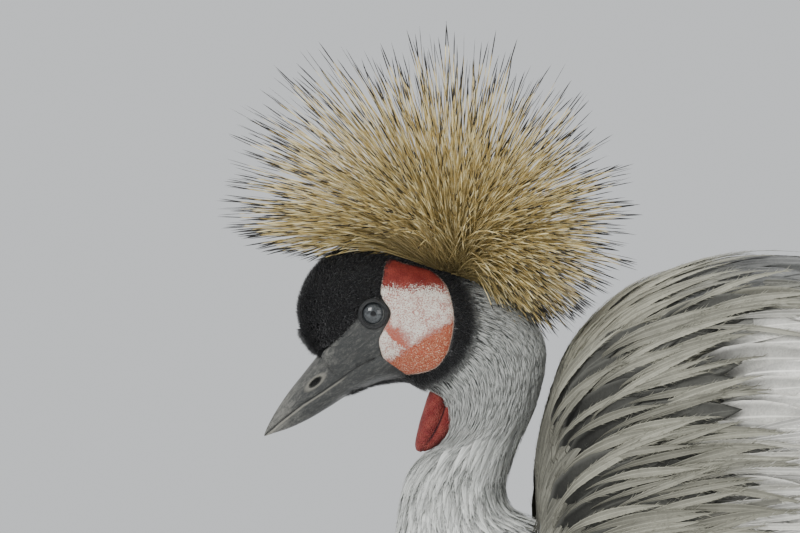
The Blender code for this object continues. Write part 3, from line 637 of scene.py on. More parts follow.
def inside(points, outline):
    """Whether the points, seen from the side, lie in an outline measured from the eye."""
    x, z = from_eye(points)
    hit = np.zeros(x.shape, bool)
    ends = np.array(outline)
    for (ax, az), (bx, bz) in zip(ends, np.roll(ends, -1, axis=0)):
        cross = (az > z) != (bz > z)
        hit ^= cross & (x < (bx - ax) * (z - az) / (bz - az if bz != az else 1e-9) + ax)
    return hit


def grown_outline(outline, size):
    middle = np.mean(outline, axis=0)
    return middle + (np.array(outline) - middle) * size


def off_bare_face(share, angle, point):
    flank = np.abs(point[..., 1]) > FLANK_FROM
    bare = inside(point, grown_outline(CHEEK, 0.97)) | inside(point, LORES)
    eye = np.hypot(*from_eye(point)) < EYE_CLEAR
    return ~((bare | eye) & flank) & (grey_share(point) < 0.6)


def unwrap(share, angle):
    """Place of each root on the skin's unwrap: around it, and along it."""
    return np.stack([(angle / (2 * math.pi)) % 1.0, np.clip(share, 0, 1)], axis=-1)


velvet_finish, tree, shader = finish_of("black velvet", 0.85, 0.18, sheen=0.25)
wire(tree, attribute(tree, "tint", "Color"), shader.inputs["Base Color"])

rng = np.random.default_rng(SEED)
share, angle = scatter(neck_surface, VELVET_COUNT, 0.0, VELVET_END, rng, off_bare_face)
jaw = fade(np.abs(angle), 2.6, 3.0) * fade(share, 0.04, 0.10)
length = rng.uniform(*VELVET_LENGTH, VELVET_COUNT) * (0.6 + 0.4 * fade(share, 0.02, 0.15)) * (1 + 0.9 * jaw)
path, out = walk(neck_surface, share, angle, rng.normal(0, VELVET_LIE, VELVET_COUNT), length, 2)
path = raise_off(path, out, VELVET_LIFTS)
path[:, 1] += out[:, 1] * rng.uniform(-0.0003, 0.0010, VELVET_COUNT)[:, None]
tint = varied(rng, neck_tint(share + rng.normal(0, 0.008, VELVET_COUNT), angle, path[:, 0]), VELVET_VARIES)

turn, reach = rng.uniform(-math.pi, math.pi, FRONT_COUNT), np.sqrt(rng.uniform(0, 1, FRONT_COUNT))[:, None]
brow, chin = neck_surface(0.0, 0.0), neck_surface(0.0, math.pi)
ahead = unit(np.array([chin[2] - brow[2], 0, brow[0] - chin[0]]))
spoke = neck_surface(np.zeros(FRONT_COUNT), turn) - (brow + chin) / 2
root = (brow + chin) / 2 + spoke * reach - ahead * 0.0012
length = rng.uniform(*FRONT_LENGTH, (FRONT_COUNT, 1)) * (1 - 0.30 * reach**2)
tip = root + ahead * length + spoke * reach * 0.12 + rng.normal(0, 0.0007, (FRONT_COUNT, 3))
path = np.concatenate([path, np.stack([root, tip], axis=1)])
out = np.concatenate([out, np.repeat(unit(np.cross(ahead, spoke))[:, None], 2, axis=1)])
tint = np.concatenate([tint, varied(rng, neck_tint(np.full(FRONT_COUNT, 0.02), turn, root), VELVET_VARIES)])
share, angle = np.concatenate([share, np.full(FRONT_COUNT, 0.01)]), np.concatenate([angle, turn])
strands("cap_velvet", path, out, VELVET_WIDE, VELVET_THICK, BLADE, tint, unwrap(share, angle), velvet_finish,
        material_slot="velvet")


# Feathers of the neck.
# Soft, hair-like grey feathers that flow down the neck, with longer white plumes near its foot.
# Each grows from the skin and lies close over the next.
HAIR_COUNT = 10600  # in each of two layers
HAIR_LENGTH = (0.010, 0.017)
HAIR_RUN = (0.33, 0.97)  # shares of the head and neck
HAIR_DRIFT, HAIR_VARIES = 0.07, 0.08
HAIR_MINGLE = 0.0024  # how far grey and black hairs mix at the edge
HAIR_TAPER = np.array([0.00034, 0.00040, 0.00027, 0])
HAIR_LIFTS = np.array([-0.0040, -0.0012, -0.0002, -0.0003])
NECK_PLUMES = 620
NECK_PLUME_LENGTH = (0.026, 0.044)
NECK_PLUME_WIDE = (0.0018, 0.0030)
NECK_PLUME_LIFTS = (-0.0040, -0.0012, 0.0004, 0.0012)
LANCE_SHAPE = (0.30, 0.78, 1.0, 0.94, 0.72, 0.44, 0.18, 0)
VANE_THICK = 0.0004
BARB_WIDE, BARB_THICK = (0.00016, 0), (0.0001, 0)
BARB_LENGTH = (0.0025, 0.0060)
plume_finish, tree, shader = finish_of("soft plume", 0.75, 0.2)
colour = attribute(tree, "tint", "Color")
across, along, along_share = split(tree, attribute(tree, "vane", "Vector"))
off_shaft = sums(tree, "ABSOLUTE", across)
streak_place = tree.nodes.new("ShaderNodeCombineXYZ")
wire(tree, times(tree, off_shaft, 6.0), streak_place.inputs[0])
wire(tree, sums(tree, "MULTIPLY_ADD", along, 1100.0, times(tree, off_shaft, -3.2)), streak_place.inputs[1])
wire(tree, times(tree, noise(tree, 30.0, 1.0), 9.0), streak_place.inputs[2])
barbs = noise(tree, 1.0, 4.0, 0.7, streak_place.outputs[0])
base = colour
for value, *ends in (
    (barbs, 0.25, 0.75, 0.80, 1.14),  # slanting barbs
    (along_share, 0.16, 0.66, 0.44, 1.16),  # painted shade at the root, where the plumes above cover it, lighter towards the end
    (noise(tree, 90.0, 4.0, 0.65), 0.3, 0.75, 0.84, 1.10),  # patches
    (across, -1.0, 0.6, 0.62, 1.08),  # one half of the vane in shade
):
    base = shaded(tree, base, spread(tree, value, *ends))
lighter = blend(tree, 1.0, colour, (1.9, 1.9, 1.9, 1.0), "MULTIPLY")
base = blend(tree, spread(tree, off_shaft, 0.02, 0.10, 0.55, 0.0), base, lighter)
base = blend(tree, spread(tree, off_shaft, 0.66, 1.0, 0.0, 0.50), base, lighter)
wire(tree, base, shader.inputs["Base Color"])
emboss(tree, shader, barbs, 0.0003, 0.5)

hair_finish, tree, shader = finish_of("neck hair", 0.7, 0.25)
wire(tree, attribute(tree, "tint", "Color"), shader.inputs["Base Color"])

rng = np.random.default_rng(SEED + 1)
for layer, depth in (("under", 0.0008), ("upper", 0.0)):
    share, angle = scatter(neck_surface, HAIR_COUNT, *HAIR_RUN, rng, lambda s, a, p: grey_share(p) > 0.2)
    length = rng.uniform(*HAIR_LENGTH, HAIR_COUNT) * (0.75 + 0.6 * fade(share, 0.42, 0.7))
    path, out = walk(neck_surface, share, angle, rng.normal(0, HAIR_DRIFT, HAIR_COUNT), length, 4)
    path = raise_off(path, out, HAIR_LIFTS - depth)
    path += out * rng.uniform(-0.0006, 0.0004, HAIR_COUNT)[:, None, None]
    spots = path[:, 1] + rng.normal(0, HAIR_MINGLE, (HAIR_COUNT, 3))
    tint = varied(rng, neck_tint(share, angle, spots), HAIR_VARIES)
    strands("neck_hair_" + layer, path, out, HAIR_TAPER, HAIR_TAPER * 0.5, BLADE, tint, unwrap(share, angle),
            hair_finish, material_slot="down")


def plumes(name, surface, share, angle, length, wide, lifts, tint, rng, slot_name, shape=LANCE_SHAPE,
           drift=0.10, heading=0.0, tilt=0.0, barbs=0, barbs_name=None):
    """Feathers laid over a surface, each with loose barbs along its edges if asked."""
    count, stations = len(share), len(shape)
    path, out = walk(surface, share, angle, heading + rng.normal(0, drift, count), length, stations)
    reach = np.interp(np.linspace(0, 1, stations), np.linspace(0, 1, len(lifts)), lifts)
    path = raise_off(path, out, reach + rng.uniform(-0.0006, 0.0006, (count, 1)))
    wide = wide[:, None] * np.array(shape)
    thick = VANE_THICK * np.minimum(1, 2 * np.linspace(1, 0, stations))
    roll = rng.normal(0, 0.10, count) + tilt
    roots = unwrap(share, angle)
    strands(name, path, out, wide, thick, VANE, tint, roots, plume_finish, material_slot=slot_name, roll=roll)
    if barbs:
        add_fringe(barbs_name or name + "_barbs", path, out, wide, tint, roots, rng, barbs, slot_name, roll)


def add_fringe(name, path, out, wide, tint, roots, rng, per_side, slot_name, roll=0.0):
    """Loose barbs that stand a little off the edges of each plume."""
    count, stations = path.shape[:2]
    ahead = unit(np.gradient(path, axis=1))
    side = unit(np.cross(ahead, out))
    up = np.cross(side, ahead)
    roll = np.broadcast_to(roll, (count,))[:, None, None]
    side = side * np.cos(roll) + up * np.sin(roll)
    at = rng.uniform(0.30, 0.97, (count, per_side * 2)) * (stations - 1)
    low = np.minimum(at.astype(int), stations - 2)
    part = (at - low)[..., None]
    rows = np.arange(count)[:, None]

    def read(values):
        return values[rows, low] * (1 - part) + values[rows, low + 1] * part

    hand = np.where(np.arange(per_side * 2) % 2 == 0, -1.0, 1.0)[None, :, None]
    spot, forward, across, lift = read(path), read(ahead), read(side) * hand, read(out)
    half = read(wide[..., None])
    root = spot + across * half * 0.8
    long = rng.uniform(*BARB_LENGTH, (*at.shape, 1))
    tip = root + (forward * 0.85 + across * rng.uniform(0.12, 0.6, long.shape)
                  + lift * rng.uniform(-0.12, 0.25, long.shape)) * long
    points = np.stack([root, tip], axis=2).reshape(-1, 2, 3)
    normals = np.repeat(lift[:, :, None], 2, axis=2).reshape(-1, 2, 3)
    shades = np.repeat(tint, per_side * 2, axis=0) * rng.uniform(1.0, 1.75, (len(points), 1))
    strands(name, points, normals, BARB_WIDE, BARB_THICK, BLADE, np.clip(shades, 0, 0.9),
            np.repeat(roots, per_side * 2, axis=0), hair_finish, material_slot=slot_name)


def grow(name, surface, count, low, high, length, wide, lifts, tint, varies, rng, keep=None, **looks):
    """Feathers scattered over a stretch of a surface."""
    share, angle = scatter(surface, count, low, high, rng, keep)
    length = rng.uniform(*length, count)
    tint = varied(rng, tint(share, angle), varies)
    plumes(name, surface, share, angle, length, rng.uniform(*wide, count), lifts, tint, rng, "down", **looks)


rng = np.random.default_rng(SEED + 2)
grow("neck_plumes", neck_surface, NECK_PLUMES, 0.66, 0.95, NECK_PLUME_LENGTH, NECK_PLUME_WIDE,
     NECK_PLUME_LIFTS, lambda s, a: neck_tint(s, a, neck_surface(s, a)) * 1.1, 0.10, rng, barbs=7,
     barbs_name="neck_plume_barbs")


# Mantle.
# Long lance-shaped grey plumes that spring from the shoulders and fan up and back over the body,
# each with a pale shaft and a pale, loose edge, over a bed of wide plumes painted near black as
# shade in the gaps between them. Shorter, darker plumes close the front edge over the hollow of
# the neck. Towards the rump all turn slate grey.
MANTLE_ROWS = np.arange(0.155, 0.90, 0.026)  # shares of the back
MANTLE_REACH = math.radians(64)
MANTLE_GAP = math.radians(5.6)
MANTLE_LENGTH = (0.080, 0.116)
MANTLE_LIFTS = (-0.0092, -0.0062, -0.0042, -0.0030, -0.0022, -0.0020)
LANCE_LIFTS = (-0.0078, -0.0040, -0.0016, -0.0002, 0.0006, 0.0004)
LANCE_GREY = (0.275, 0.268, 0.212)
LANCE_FORM = (0.06, 0.38, 0.68, 0.90, 1.0, 0.98, 0.88, 0.72, 0.53, 0.34, 0.16, 0)
COVERT_SHAPE = (0.35, 0.82, 1.0, 1.0, 0.93, 0.76, 0.45, 0)
RUFF_COUNT = 340
RUFF_LENGTH = (0.045, 0.085)
RUFF_RUN, RUFF_REACH = (0.144, 0.200), 1.9  # shares of the back, and turn to either side
RUFF_LIFTS = (-0.0075, -0.0022, 0.0006, 0.0014, 0.0010)
RUFF_GREY = (0.150, 0.147, 0.120)
SLATE = (0.150, 0.152, 0.146)
PLUME_STRAY = math.radians(1.6)
MANTLE_VARIES, MANTLE_TILT = 0.26, 0.16


def staggered(rows, low, high, gap):
    """Places in rows, with every second row shifted by half a gap: the row's value and the angle."""
    lines = [np.arange(low, high, gap) + gap / 2 * (row % 2) for row in range(len(rows))]
    return np.repeat(rows, [len(line) for line in lines]), np.concatenate(lines)


rng = np.random.default_rng(SEED + 3)
bed_share, bed_angle = staggered(MANTLE_ROWS, -MANTLE_REACH, MANTLE_REACH, MANTLE_GAP)
for kind, wide, lifts, shape, drift, barbs, grey, turned_slate, kept, thinned in (
    # the bed is painted near black as shade in the gaps between the plumes above it
    ("bed", (0.0050, 0.0066), MANTLE_LIFTS, COVERT_SHAPE, 0.05, 4, MANTLE_SHADE_GREY, 1.0, 1.0, 0.0),
    ("lance", (0.0020, 0.0036), LANCE_LIFTS, LANCE_FORM, 0.11, 24, LANCE_GREY, 0.6, 0.86, 0.62),
    ("ruff", (0.0024, 0.0036), RUFF_LIFTS, LANCE_FORM, 0.11, 10, RUFF_GREY, 0.0, 1.0, 0.0),
):
    keep = rng.uniform(0, 1, len(bed_share)) < kept - thinned * fade(bed_share, 0.30, 0.40)
    share = bed_share[keep] + rng.normal(0, 0.007, keep.sum())
    angle = bed_angle[keep] + rng.normal(0, PLUME_STRAY, keep.sum())
    length = rng.uniform(*MANTLE_LENGTH, keep.sum()) * (1 - 0.35 * fade(share, 0.7, 0.95))
    if kind == "ruff":
        share, angle = rng.uniform(*RUFF_RUN, RUFF_COUNT), rng.uniform(-RUFF_REACH, RUFF_REACH, RUFF_COUNT)
        length = rng.uniform(*RUFF_LENGTH, RUFF_COUNT)
    slate = turned_slate * fade(share, 0.28, 0.42)[:, None]
    tint = np.array(grey) * (1 - slate) + np.array(SLATE) * slate
    wide = rng.uniform(*wide, len(share))
    tint = varied(rng, tint, MANTLE_VARIES)
    plumes("mantle_" + kind, body_surface, share, angle, length, wide, lifts, tint, rng, "mantle",
           shape=shape, drift=drift, tilt=MANTLE_TILT * np.sign(angle), barbs=barbs)


# Breast, belly and thighs.
# Short, soft, rounded contour feathers in overlapping rows, grey above and paler below, with lax
# flank feathers that hang over the top of each thigh.
CONTOUR_COUNT, THIGH_COUNT, DRAPE_COUNT = 5200, 1900, 110
CONTOUR_SHAPE = (0.45, 1.0, 0.90, 0)
CONTOUR_LIFTS = (-0.0060, -0.0026, -0.0010, 0.0002)
THIGH_LIFTS = (-0.0030, -0.0012, 0.0000, 0.0003)
DRAPE_LIFTS = (-0.0040, 0.0035, 0.0070, 0.0100, 0.0125, 0.0140)
DRAPE_HEADING = math.radians(68)
DRAPE_RUN, DRAPE_TURNS = (-0.060, 0.014), (111, 121)  # x, and degrees from the spine
DRAPE_LENGTH, DRAPE_WIDE = (0.034, 0.052), (0.0032, 0.0046)
CONTOUR_LENGTH, CONTOUR_WIDE = (0.020, 0.030), (0.0038, 0.0052)
THIGH_LENGTH, THIGH_WIDE = (0.014, 0.023), (0.0017, 0.0027)
BREAST_END = 0.09  # share of the body from which the mantle covers the back


def share_of_x(x):
    """How far along the body an x lies."""
    return np.interp(x, BODY[:, 0], np.linspace(0, 1, len(BODY)))


def clear_of_mantle(share, angle, point):
    return np.abs(angle) > np.where(share < BREAST_END, 0.3, math.radians(62))


rng = np.random.default_rng(SEED + 4)
grow("contour_feathers", body_surface, CONTOUR_COUNT, 0.004, 0.96, CONTOUR_LENGTH, CONTOUR_WIDE,
     CONTOUR_LIFTS, lambda s, a: body_tint(s, a, None), 0.12, rng, clear_of_mantle, shape=CONTOUR_SHAPE,
     drift=0.08, barbs=2, barbs_name="contour_barbs")
for side, side_name in SIDES:
    grow(side_name + "_thigh_feathers", thigh_of(side), THIGH_COUNT, 0.05, 0.97, THIGH_LENGTH, THIGH_WIDE,
         THIGH_LIFTS, lambda s, a: np.tile(BELLY_GREY, (len(s), 1)), 0.10, rng, shape=CONTOUR_SHAPE,
         drift=0.08)
for side, side_name in SIDES:
    share = share_of_x(rng.uniform(*DRAPE_RUN, DRAPE_COUNT))
    angle = side * np.radians(rng.uniform(*DRAPE_TURNS, DRAPE_COUNT))
    tint = varied(rng, np.tile(BELLY_GREY, (DRAPE_COUNT, 1)), 0.10)
    plumes(side_name + "_flank_drape", body_surface, share, angle, rng.uniform(*DRAPE_LENGTH, DRAPE_COUNT),
           rng.uniform(*DRAPE_WIDE, DRAPE_COUNT), DRAPE_LIFTS, tint, rng, "down", drift=0.16,
           heading=side * DRAPE_HEADING, barbs=8)


# Wings.
# Folded wings: a white panel of coverts with pale shafts, straw-gold plumes below them, long
# chestnut quills laid over the rump and black ones under those. The quills hang past the body.
WING_TOP, WING_BOTTOM = math.radians(44), math.radians(110.56)
WING_TILT = 0.20
ROW_STRAY = 0.0030
PANEL_FROM, PANEL_TOP, PANEL_FOOT = -0.112, math.radians(50), math.radians(78)  # white panel: x, and turns
SHOULDER_FORM = (0.03, 0.10, 0.24, 0.46, 0.72, 0.92, 1.0, 0.94, 0.76, 0.52, 0.26, 0)
SHOULDER_LIFTS = (-0.0066, 0.0050, 0.0076, 0.0080, 0.0083, 0.0086, 0.0088, 0.0090, 0.0091, 0.0091, 0.0090)
SHOULDER_WIDE = (0.0014, 0.0028)
SHOULDER_LENGTH = (0.0663, 0.08424)
SHOULDER_GROWTH = 0.022 / 0.078  # how much longer the hindmost are
COVERT_WIDE = (0.0070, 0.0092)
COVERT_LENGTH = (0.062, 0.078)
SHOULDER_GREY = (0.222, 0.217, 0.173)
COVERT_RISE = (-0.0060, 0.0004, 0.0040, 0.0060, 0.0070, 0.0074)
QUILL_SHAPE = (0.45, 0.80, 1.0, 1.0, 0.98, 0.90, 0.72, 0.45, 0)
QUILLS = 15
QUILL_ROWS = 2
QUILL_STATIONS = 18
QUILL_WIDE, QUILL_THICK = 0.0095, 0.0006
QUILL_ROOTS = np.array([0.020, 0.075, 0.125])  # x of the first stations, which lie along the body
QUILL_LIFTS = np.array([-0.001, 0.0066, 0.0076])
QUILL_RISE = np.array([0, 0.0045, 0.0045])  # how much higher the uppermost lie
QUILL_TIP = Vector((0.222, 0.040, 0.494))  # of the uppermost
TIP_RUN = Vector((0.098, -0.022, -0.078))  # from the uppermost tip to the lowest
TIP_LAYER = Vector((-0.030, 0.004, 0.0135))  # from one layer to the next
WHITE_COVERT = (0.66, 0.65, 0.60)
STRAW_PLUME = (0.62, 0.47, 0.20)
CHESTNUT = (0.120, 0.045, 0.022)
QUILL_BLACK = (0.018, 0.016, 0.017)


def covert_tint(x, angle, grey):
    """Grey at the shoulder, then white, with straw gold along the lower edge."""
    white = (fade(x, -0.105, -0.070) * fade(np.abs(angle), math.radians(44), math.radians(52)))[:, None]
    gold = (fade(np.abs(angle), math.radians(86), math.radians(98)) * fade(x, -0.06, 0.03))[:, None]
    base = np.array(grey) * (1 - white) + np.array(WHITE_COVERT) * white
    return base * (1 - gold) + np.array(STRAW_PLUME) * gold


for side, side_name in SIDES:
    rng = np.random.default_rng(SEED + 5)
    for kind, rows, gap, lengths, growth, wides, lifts, shape, drift, barbs, grey, varies in (
        # the bed under the shoulder plumes is painted near black as shade in the gaps between them
        ("shoulder_bed", np.arange(-0.152, -0.048, 0.0110), 6.5, COVERT_LENGTH, 0, COVERT_WIDE, COVERT_RISE,
         COVERT_SHAPE, 0.06, 6, MANTLE_SHADE_GREY, 0.34),
        ("covert", np.arange(-0.082, 0.088, 0.0130), 8.0, COVERT_LENGTH, 0, COVERT_WIDE, COVERT_RISE,
         COVERT_SHAPE, 0.06, 16, SHOULDER_GREY, 0.10),
        ("shoulder", np.arange(-0.150, -0.052, 0.0088), 4.6, SHOULDER_LENGTH, SHOULDER_GROWTH, SHOULDER_WIDE,
         SHOULDER_LIFTS, SHOULDER_FORM, 0.09, 20, SHOULDER_GREY, 0.34),
    ):
        x, angle = staggered(rows, WING_TOP, WING_BOTTOM, math.radians(gap))
        x = x + rng.normal(0, ROW_STRAY, len(x))
        angle = angle + rng.normal(0, PLUME_STRAY, len(angle))
        if kind != "covert":
            white_panel = (x > PANEL_FROM) & (angle > PANEL_TOP) & (angle < PANEL_FOOT)
            x, angle = x[~white_panel], angle[~white_panel]
        tint = varied(rng, covert_tint(x, angle, grey), varies)
        length = rng.uniform(*lengths, len(x)) * (1 + growth * fade(x, -0.14, -0.06))
        plumes(side_name + "_" + kind, body_surface, share_of_x(x), side * angle, length,
               rng.uniform(*wides, len(x)), lifts, tint, rng, "wing", shape=shape, drift=drift,
               tilt=side * WING_TILT, barbs=barbs)

    roof = Vector((0.35, side * 0.72, 0.60)).normalized()
    points, outs, wides, tints, roots = [], [], [], [], []
    for layer, i in ((layer, i) for layer in range(QUILL_ROWS) for i in range(QUILLS)):
        part = i / (QUILLS - 1)
        angle = side * (WING_TOP + math.radians(9 + 46 * part))
        tip = QUILL_TIP + TIP_RUN * part + TIP_LAYER * layer
        tip.y *= side
        tip += Vector(rng.uniform(-1, 1, 3)) * 0.004
        tip.y = side * max(side * tip.y, 0.012)
        along = share_of_x(QUILL_ROOTS + 0.02 * part)
        spots, ways, _, _ = surface_frame(body_surface, along, np.full(3, angle))
        lift = QUILL_LIFTS + QUILL_RISE * (1 - part) + 0.0022 * layer
        path = [Vector(p) for p in spots + ways * lift[:, None]]
        flank = [Vector(n) for n in ways]
        for share in (0.30, 0.55, 0.78, 0.91, 1.0):
            path.append(path[2].lerp(tip, share) + roof * 0.004 * math.sin(math.pi * share))
            flank.append(roof)
        path.insert(1, path[0].lerp(path[1], 0.5))
        flank.insert(1, flank[0])
        run = smooth_rows([[*p, *n, wide] for p, n, wide in zip(path, flank, QUILL_SHAPE)], QUILL_STATIONS)
        points.append(run[:, :3])
        outs.append(unit(run[:, 3:6]))
        wides.append(QUILL_WIDE * run[:, 6] * rng.uniform(0.9, 1.05))
        dark = fade(part + 0.25 * layer, 0.45, 0.80)
        pale = fade(part, 0.20, 0.02)
        colour = np.array(CHESTNUT) * (1 - dark) + np.array(QUILL_BLACK) * dark
        tints.append(colour * (1 - pale) + np.array(STRAW_PLUME) * pale)
        roots.append((0.5 + angle / (2 * math.pi), 0.8 + 0.01 * i))
    points, outs, wides, tints = np.array(points), np.array(outs), np.array(wides), np.array(tints)
    thick = QUILL_THICK * np.minimum(1, 1.6 * np.linspace(1, 0, QUILL_STATIONS))
    strands(side_name + "_quills", points, outs, wides, thick, VANE, varied(rng, tints, 0.12), roots,
            plume_finish, side_name + "_wing", material_slot="wing", roll=rng.normal(0, 0.10, len(points)))
    add_fringe(side_name + "_quill_barbs", points, outs, wides, tints, roots, rng, 50, "wing")


# Tail.
# Twelve stiff black feathers, fanned a little from the rump, with short ones over their roots.
TAIL_ROOT = Vector((0.185, 0, 0.500))
TAIL_LENGTH = 0.184
TAIL_DROP = math.radians(38)
TAIL_SPREAD = math.radians(7)
TAIL_SUNK = 0.012  # how deep the feathers are rooted
TAIL_TIERS = ((12, 1.0), (10, 0.62), (8, 0.40))  # feathers, and their share of the length
TAIL_TAPER = QUILL_THICK * np.array([1, 1, 1, 1, 0.9, 0.8, 0.6, 0.5, 0])
tail_way = Vector((math.cos(TAIL_DROP), 0, -math.sin(TAIL_DROP)))
tail_up = Vector((math.sin(TAIL_DROP), 0, math.cos(TAIL_DROP)))
rng = np.random.default_rng(SEED + 6)
points, wides, roots = [], [], []
for tier, (count, reach) in enumerate(TAIL_TIERS):
    for i in range(count):
        part = 2 * i / (count - 1) - 1
        splay = TAIL_SPREAD * part
        heading = tail_way * math.cos(splay) + Vector((0, math.sin(splay), 0))
        start = TAIL_ROOT - tail_way * TAIL_SUNK + Vector((0, 0.009 * part, 0))
        start += tail_up * (0.0040 - 0.0042 * abs(part) + 0.0022 * tier)
        length = (TAIL_LENGTH + TAIL_SUNK) * reach * (1 - 0.04 * abs(part)) * rng.uniform(0.98, 1.0)
        points.append([list(start + heading * length * s) for s in np.linspace(0, 1, len(QUILL_SHAPE))])
        wides.append(QUILL_WIDE * (1 - 0.12 * tier) * np.array(QUILL_SHAPE))
        roots.append((0.5 + 0.1 * part, 0.2 + 0.2 * tier))
points, wides = np.array(points), np.array(wides)
outs = np.tile(np.array(tail_up), (*points.shape[:2], 1))
tint = varied(rng, np.tile(QUILL_BLACK, (len(points), 1)), 0.3)
strands("tail_feathers", points, outs, wides, TAIL_TAPER, VANE, tint, roots, plume_finish, "tail",
        material_slot="quill", roll=rng.normal(0, 0.06, len(points)))
add_fringe("tail_barbs", points, outs, wides, tint, roots, rng, 40, "quill")


# Crown.
# A fan of stiff, flat, twisted bristles on the hind crown: khaki near the root, then straw gold,
# with a painted cream highlight where the twist turns each to the light, painted dark dashes
# where it turns away, and fine dark tips.
CREST_ROOT = EYE + Vector((0.041, 0, 0.012))
CREST_LEAN = math.radians(74)
CREST_REACH = (  # direction seen from the side in degrees from the tail's side, and reach
    (-32, 0.046), (-22, 0.063), (-14, 0.074), (-8, 0.084), (0, 0.098), (13, 0.105), (34, 0.117), (65, 0.131),
    (93, 0.139), (115, 0.144), (131, 0.152), (144, 0.143), (150, 0.135), (163, 0.127), (169, 0.104),
)
CREST_GROWTH = 1.075  # how far the longest bristles pass that reach
BRISTLES = 3400
BRISTLE_STATIONS = np.array([0, 0.14, 0.28, 0.42, 0.56, 0.70, 0.83, 0.95, 1.0])
BRISTLE_WIDE = np.array([0.00023, 0.00025, 0.00026, 0.00028, 0.00030, 0.00031, 0.00031, 0.00029, 0])
TWIST_PITCH = 0.0200
CREST_HALF = 0.103  # reach to either side
CREST_SPREAD = 0.90  # sine of the widest turn to either side
SHORT_SHARE, SHORT_REACH, LONG_REACH = 0.66, (0.45, 0.86), (0.82, 1.0)
PAD = np.array([0.0050, 0.0040])  # spread of the roots along and across the head
PAD_RISE = 0.0095  # from the middle of the fan up to the roots
ARCH = np.array([0, 0, 0.0075])
MANTLE_CLEAR, CREST_LEAST = 0.003, 0.035  # bristles over the back are cut short of it


def mantle_height(x):
    return np.interp(x, BODY[:, 0], BODY[:, 1], left=0.0, right=0.0)


bristle_finish, tree, shader = finish_of("crown bristle", 0.42, 0.5)
across, along, along_share = split(tree, attribute(tree, "vane", "Vector"))
own = tree.nodes.new("ShaderNodeSeparateColor")
tree.links.new(attribute(tree, "tint", "Color"), own.inputs[0])
phase = sums(tree, "MULTIPLY_ADD", along, 2 * math.pi / TWIST_PITCH, times(tree, own.outputs[2], 300.0))
turned = sums(tree, "SINE", sums(tree, "MULTIPLY_ADD", across, 0.6, phase))
# painted highlight: cream where the twist turns a bristle to the light
glint = times(tree, spread(tree, turned, 0.25, 0.75), spread(tree, along_share, 0.28, 0.60))
# painted shade: dark dashes where the twist turns a bristle away
twist_shade = times(tree, spread(tree, turned, -0.72, -0.94), spread(tree, along_share, 0.55, 0.80))
base = blend(tree, spread(tree, along_share, 0.30, 0.72), (0.43, 0.335, 0.140, 1), (0.70, 0.530, 0.205, 1))
base = blend(tree, glint, base, (0.98, 0.86, 0.50, 1))
base = blend(tree, times(tree, twist_shade, 0.85), base, (0.050, 0.038, 0.020, 1))
base = blend(tree, spread(tree, along_share, 0.16, 0.0, 0.0, 0.5), base, (0.12, 0.09, 0.04, 1))
base = shaded(tree, base, own.outputs[0])
base = blend(tree, spread(tree, along_share, 0.885, 0.905), base, (0.010, 0.008, 0.006, 1))
wire(tree, base, shader.inputs["Base Color"])

rng = np.random.default_rng(SEED + 7)
degrees, reaches = zip(*CREST_REACH)
turn = degrees[0] + (degrees[-1] - degrees[0]) * rng.uniform(0, 1, BRISTLES)
edge = fade(turn, degrees[-1], degrees[-1] - 42) * fade(turn, degrees[0], degrees[0] + 30)
sideways = np.arcsin(rng.uniform(-CREST_SPREAD, CREST_SPREAD, BRISTLES)) * (0.22 + 0.78 * edge)
heading = np.radians(turn)
level = np.cos(sideways)
way = np.stack([np.cos(heading) * level, np.sin(sideways), np.sin(heading) * level], axis=-1)
stunted = rng.uniform(0, 1, BRISTLES) < SHORT_SHARE
short = np.where(stunted, rng.uniform(*SHORT_REACH, BRISTLES), rng.uniform(*LONG_REACH, BRISTLES))
reach = np.interp(turn, degrees, reaches) * CREST_GROWTH * short * (1 - 0.16 * np.abs(np.sin(sideways)))
reach = np.minimum(reach, CREST_HALF * (1 - 0.14 * (1 - short)) / np.maximum(np.abs(way[:, 1]), 0.1))
centre = np.array(CREST_ROOT)
for _ in range(14):
    tips = centre + way * reach[:, None]
    touches = (tips[:, 2] < mantle_height(tips[:, 0]) + MANTLE_CLEAR) & (reach > CREST_LEAST)
    reach = np.where(touches, reach * 0.95, reach)
lean = np.array([math.cos(CREST_LEAN), 0, math.sin(CREST_LEAN)])
fore = np.array([-math.sin(CREST_LEAN), 0, math.cos(CREST_LEAN)])
patch = rng.normal(0, 1, (BRISTLES, 2)) * PAD
patch[:, 0] += 0.007 * fade(turn, 110, 165) - 0.004 * fade(turn, 40, -10)
start = centre + lean * PAD_RISE + fore * patch[:, :1] + np.array([0, 1, 0]) * patch[:, 1:] + way * 0.002
tips = centre + way * reach[:, None]
bend = rng.normal(0, 0.0014, (BRISTLES, 1, 3)) + ARCH * (0.35 + np.abs(np.cos(heading)))[:, None, None]
share = BRISTLE_STATIONS[None, :, None]
path = start[:, None] * (1 - share) + tips[:, None] * share + bend * np.sin(math.pi * share)
path[:, :, 2] += BRISTLE_STATIONS**2 * rng.normal(0, 0.0015, (BRISTLES, 1))
out = np.tile(unit(np.cross(way, rng.normal(0, 1, (BRISTLES, 3))))[:, None], (1, len(BRISTLE_STATIONS), 1))
tint = np.stack([rng.uniform(0.70, 1.20, BRISTLES), np.zeros(BRISTLES), rng.uniform(0, 1, BRISTLES)], axis=-1)
roots = np.stack([0.5 + patch[:, 1] * 12, 0.5 + patch[:, 0] * 12], axis=-1)
strands("crown_bristles", path, out, BRISTLE_WIDE, BRISTLE_WIDE * 0.5, BLADE, tint, np.clip(roots, 0, 1),
        bristle_finish, "crest", material_slot="bristle")


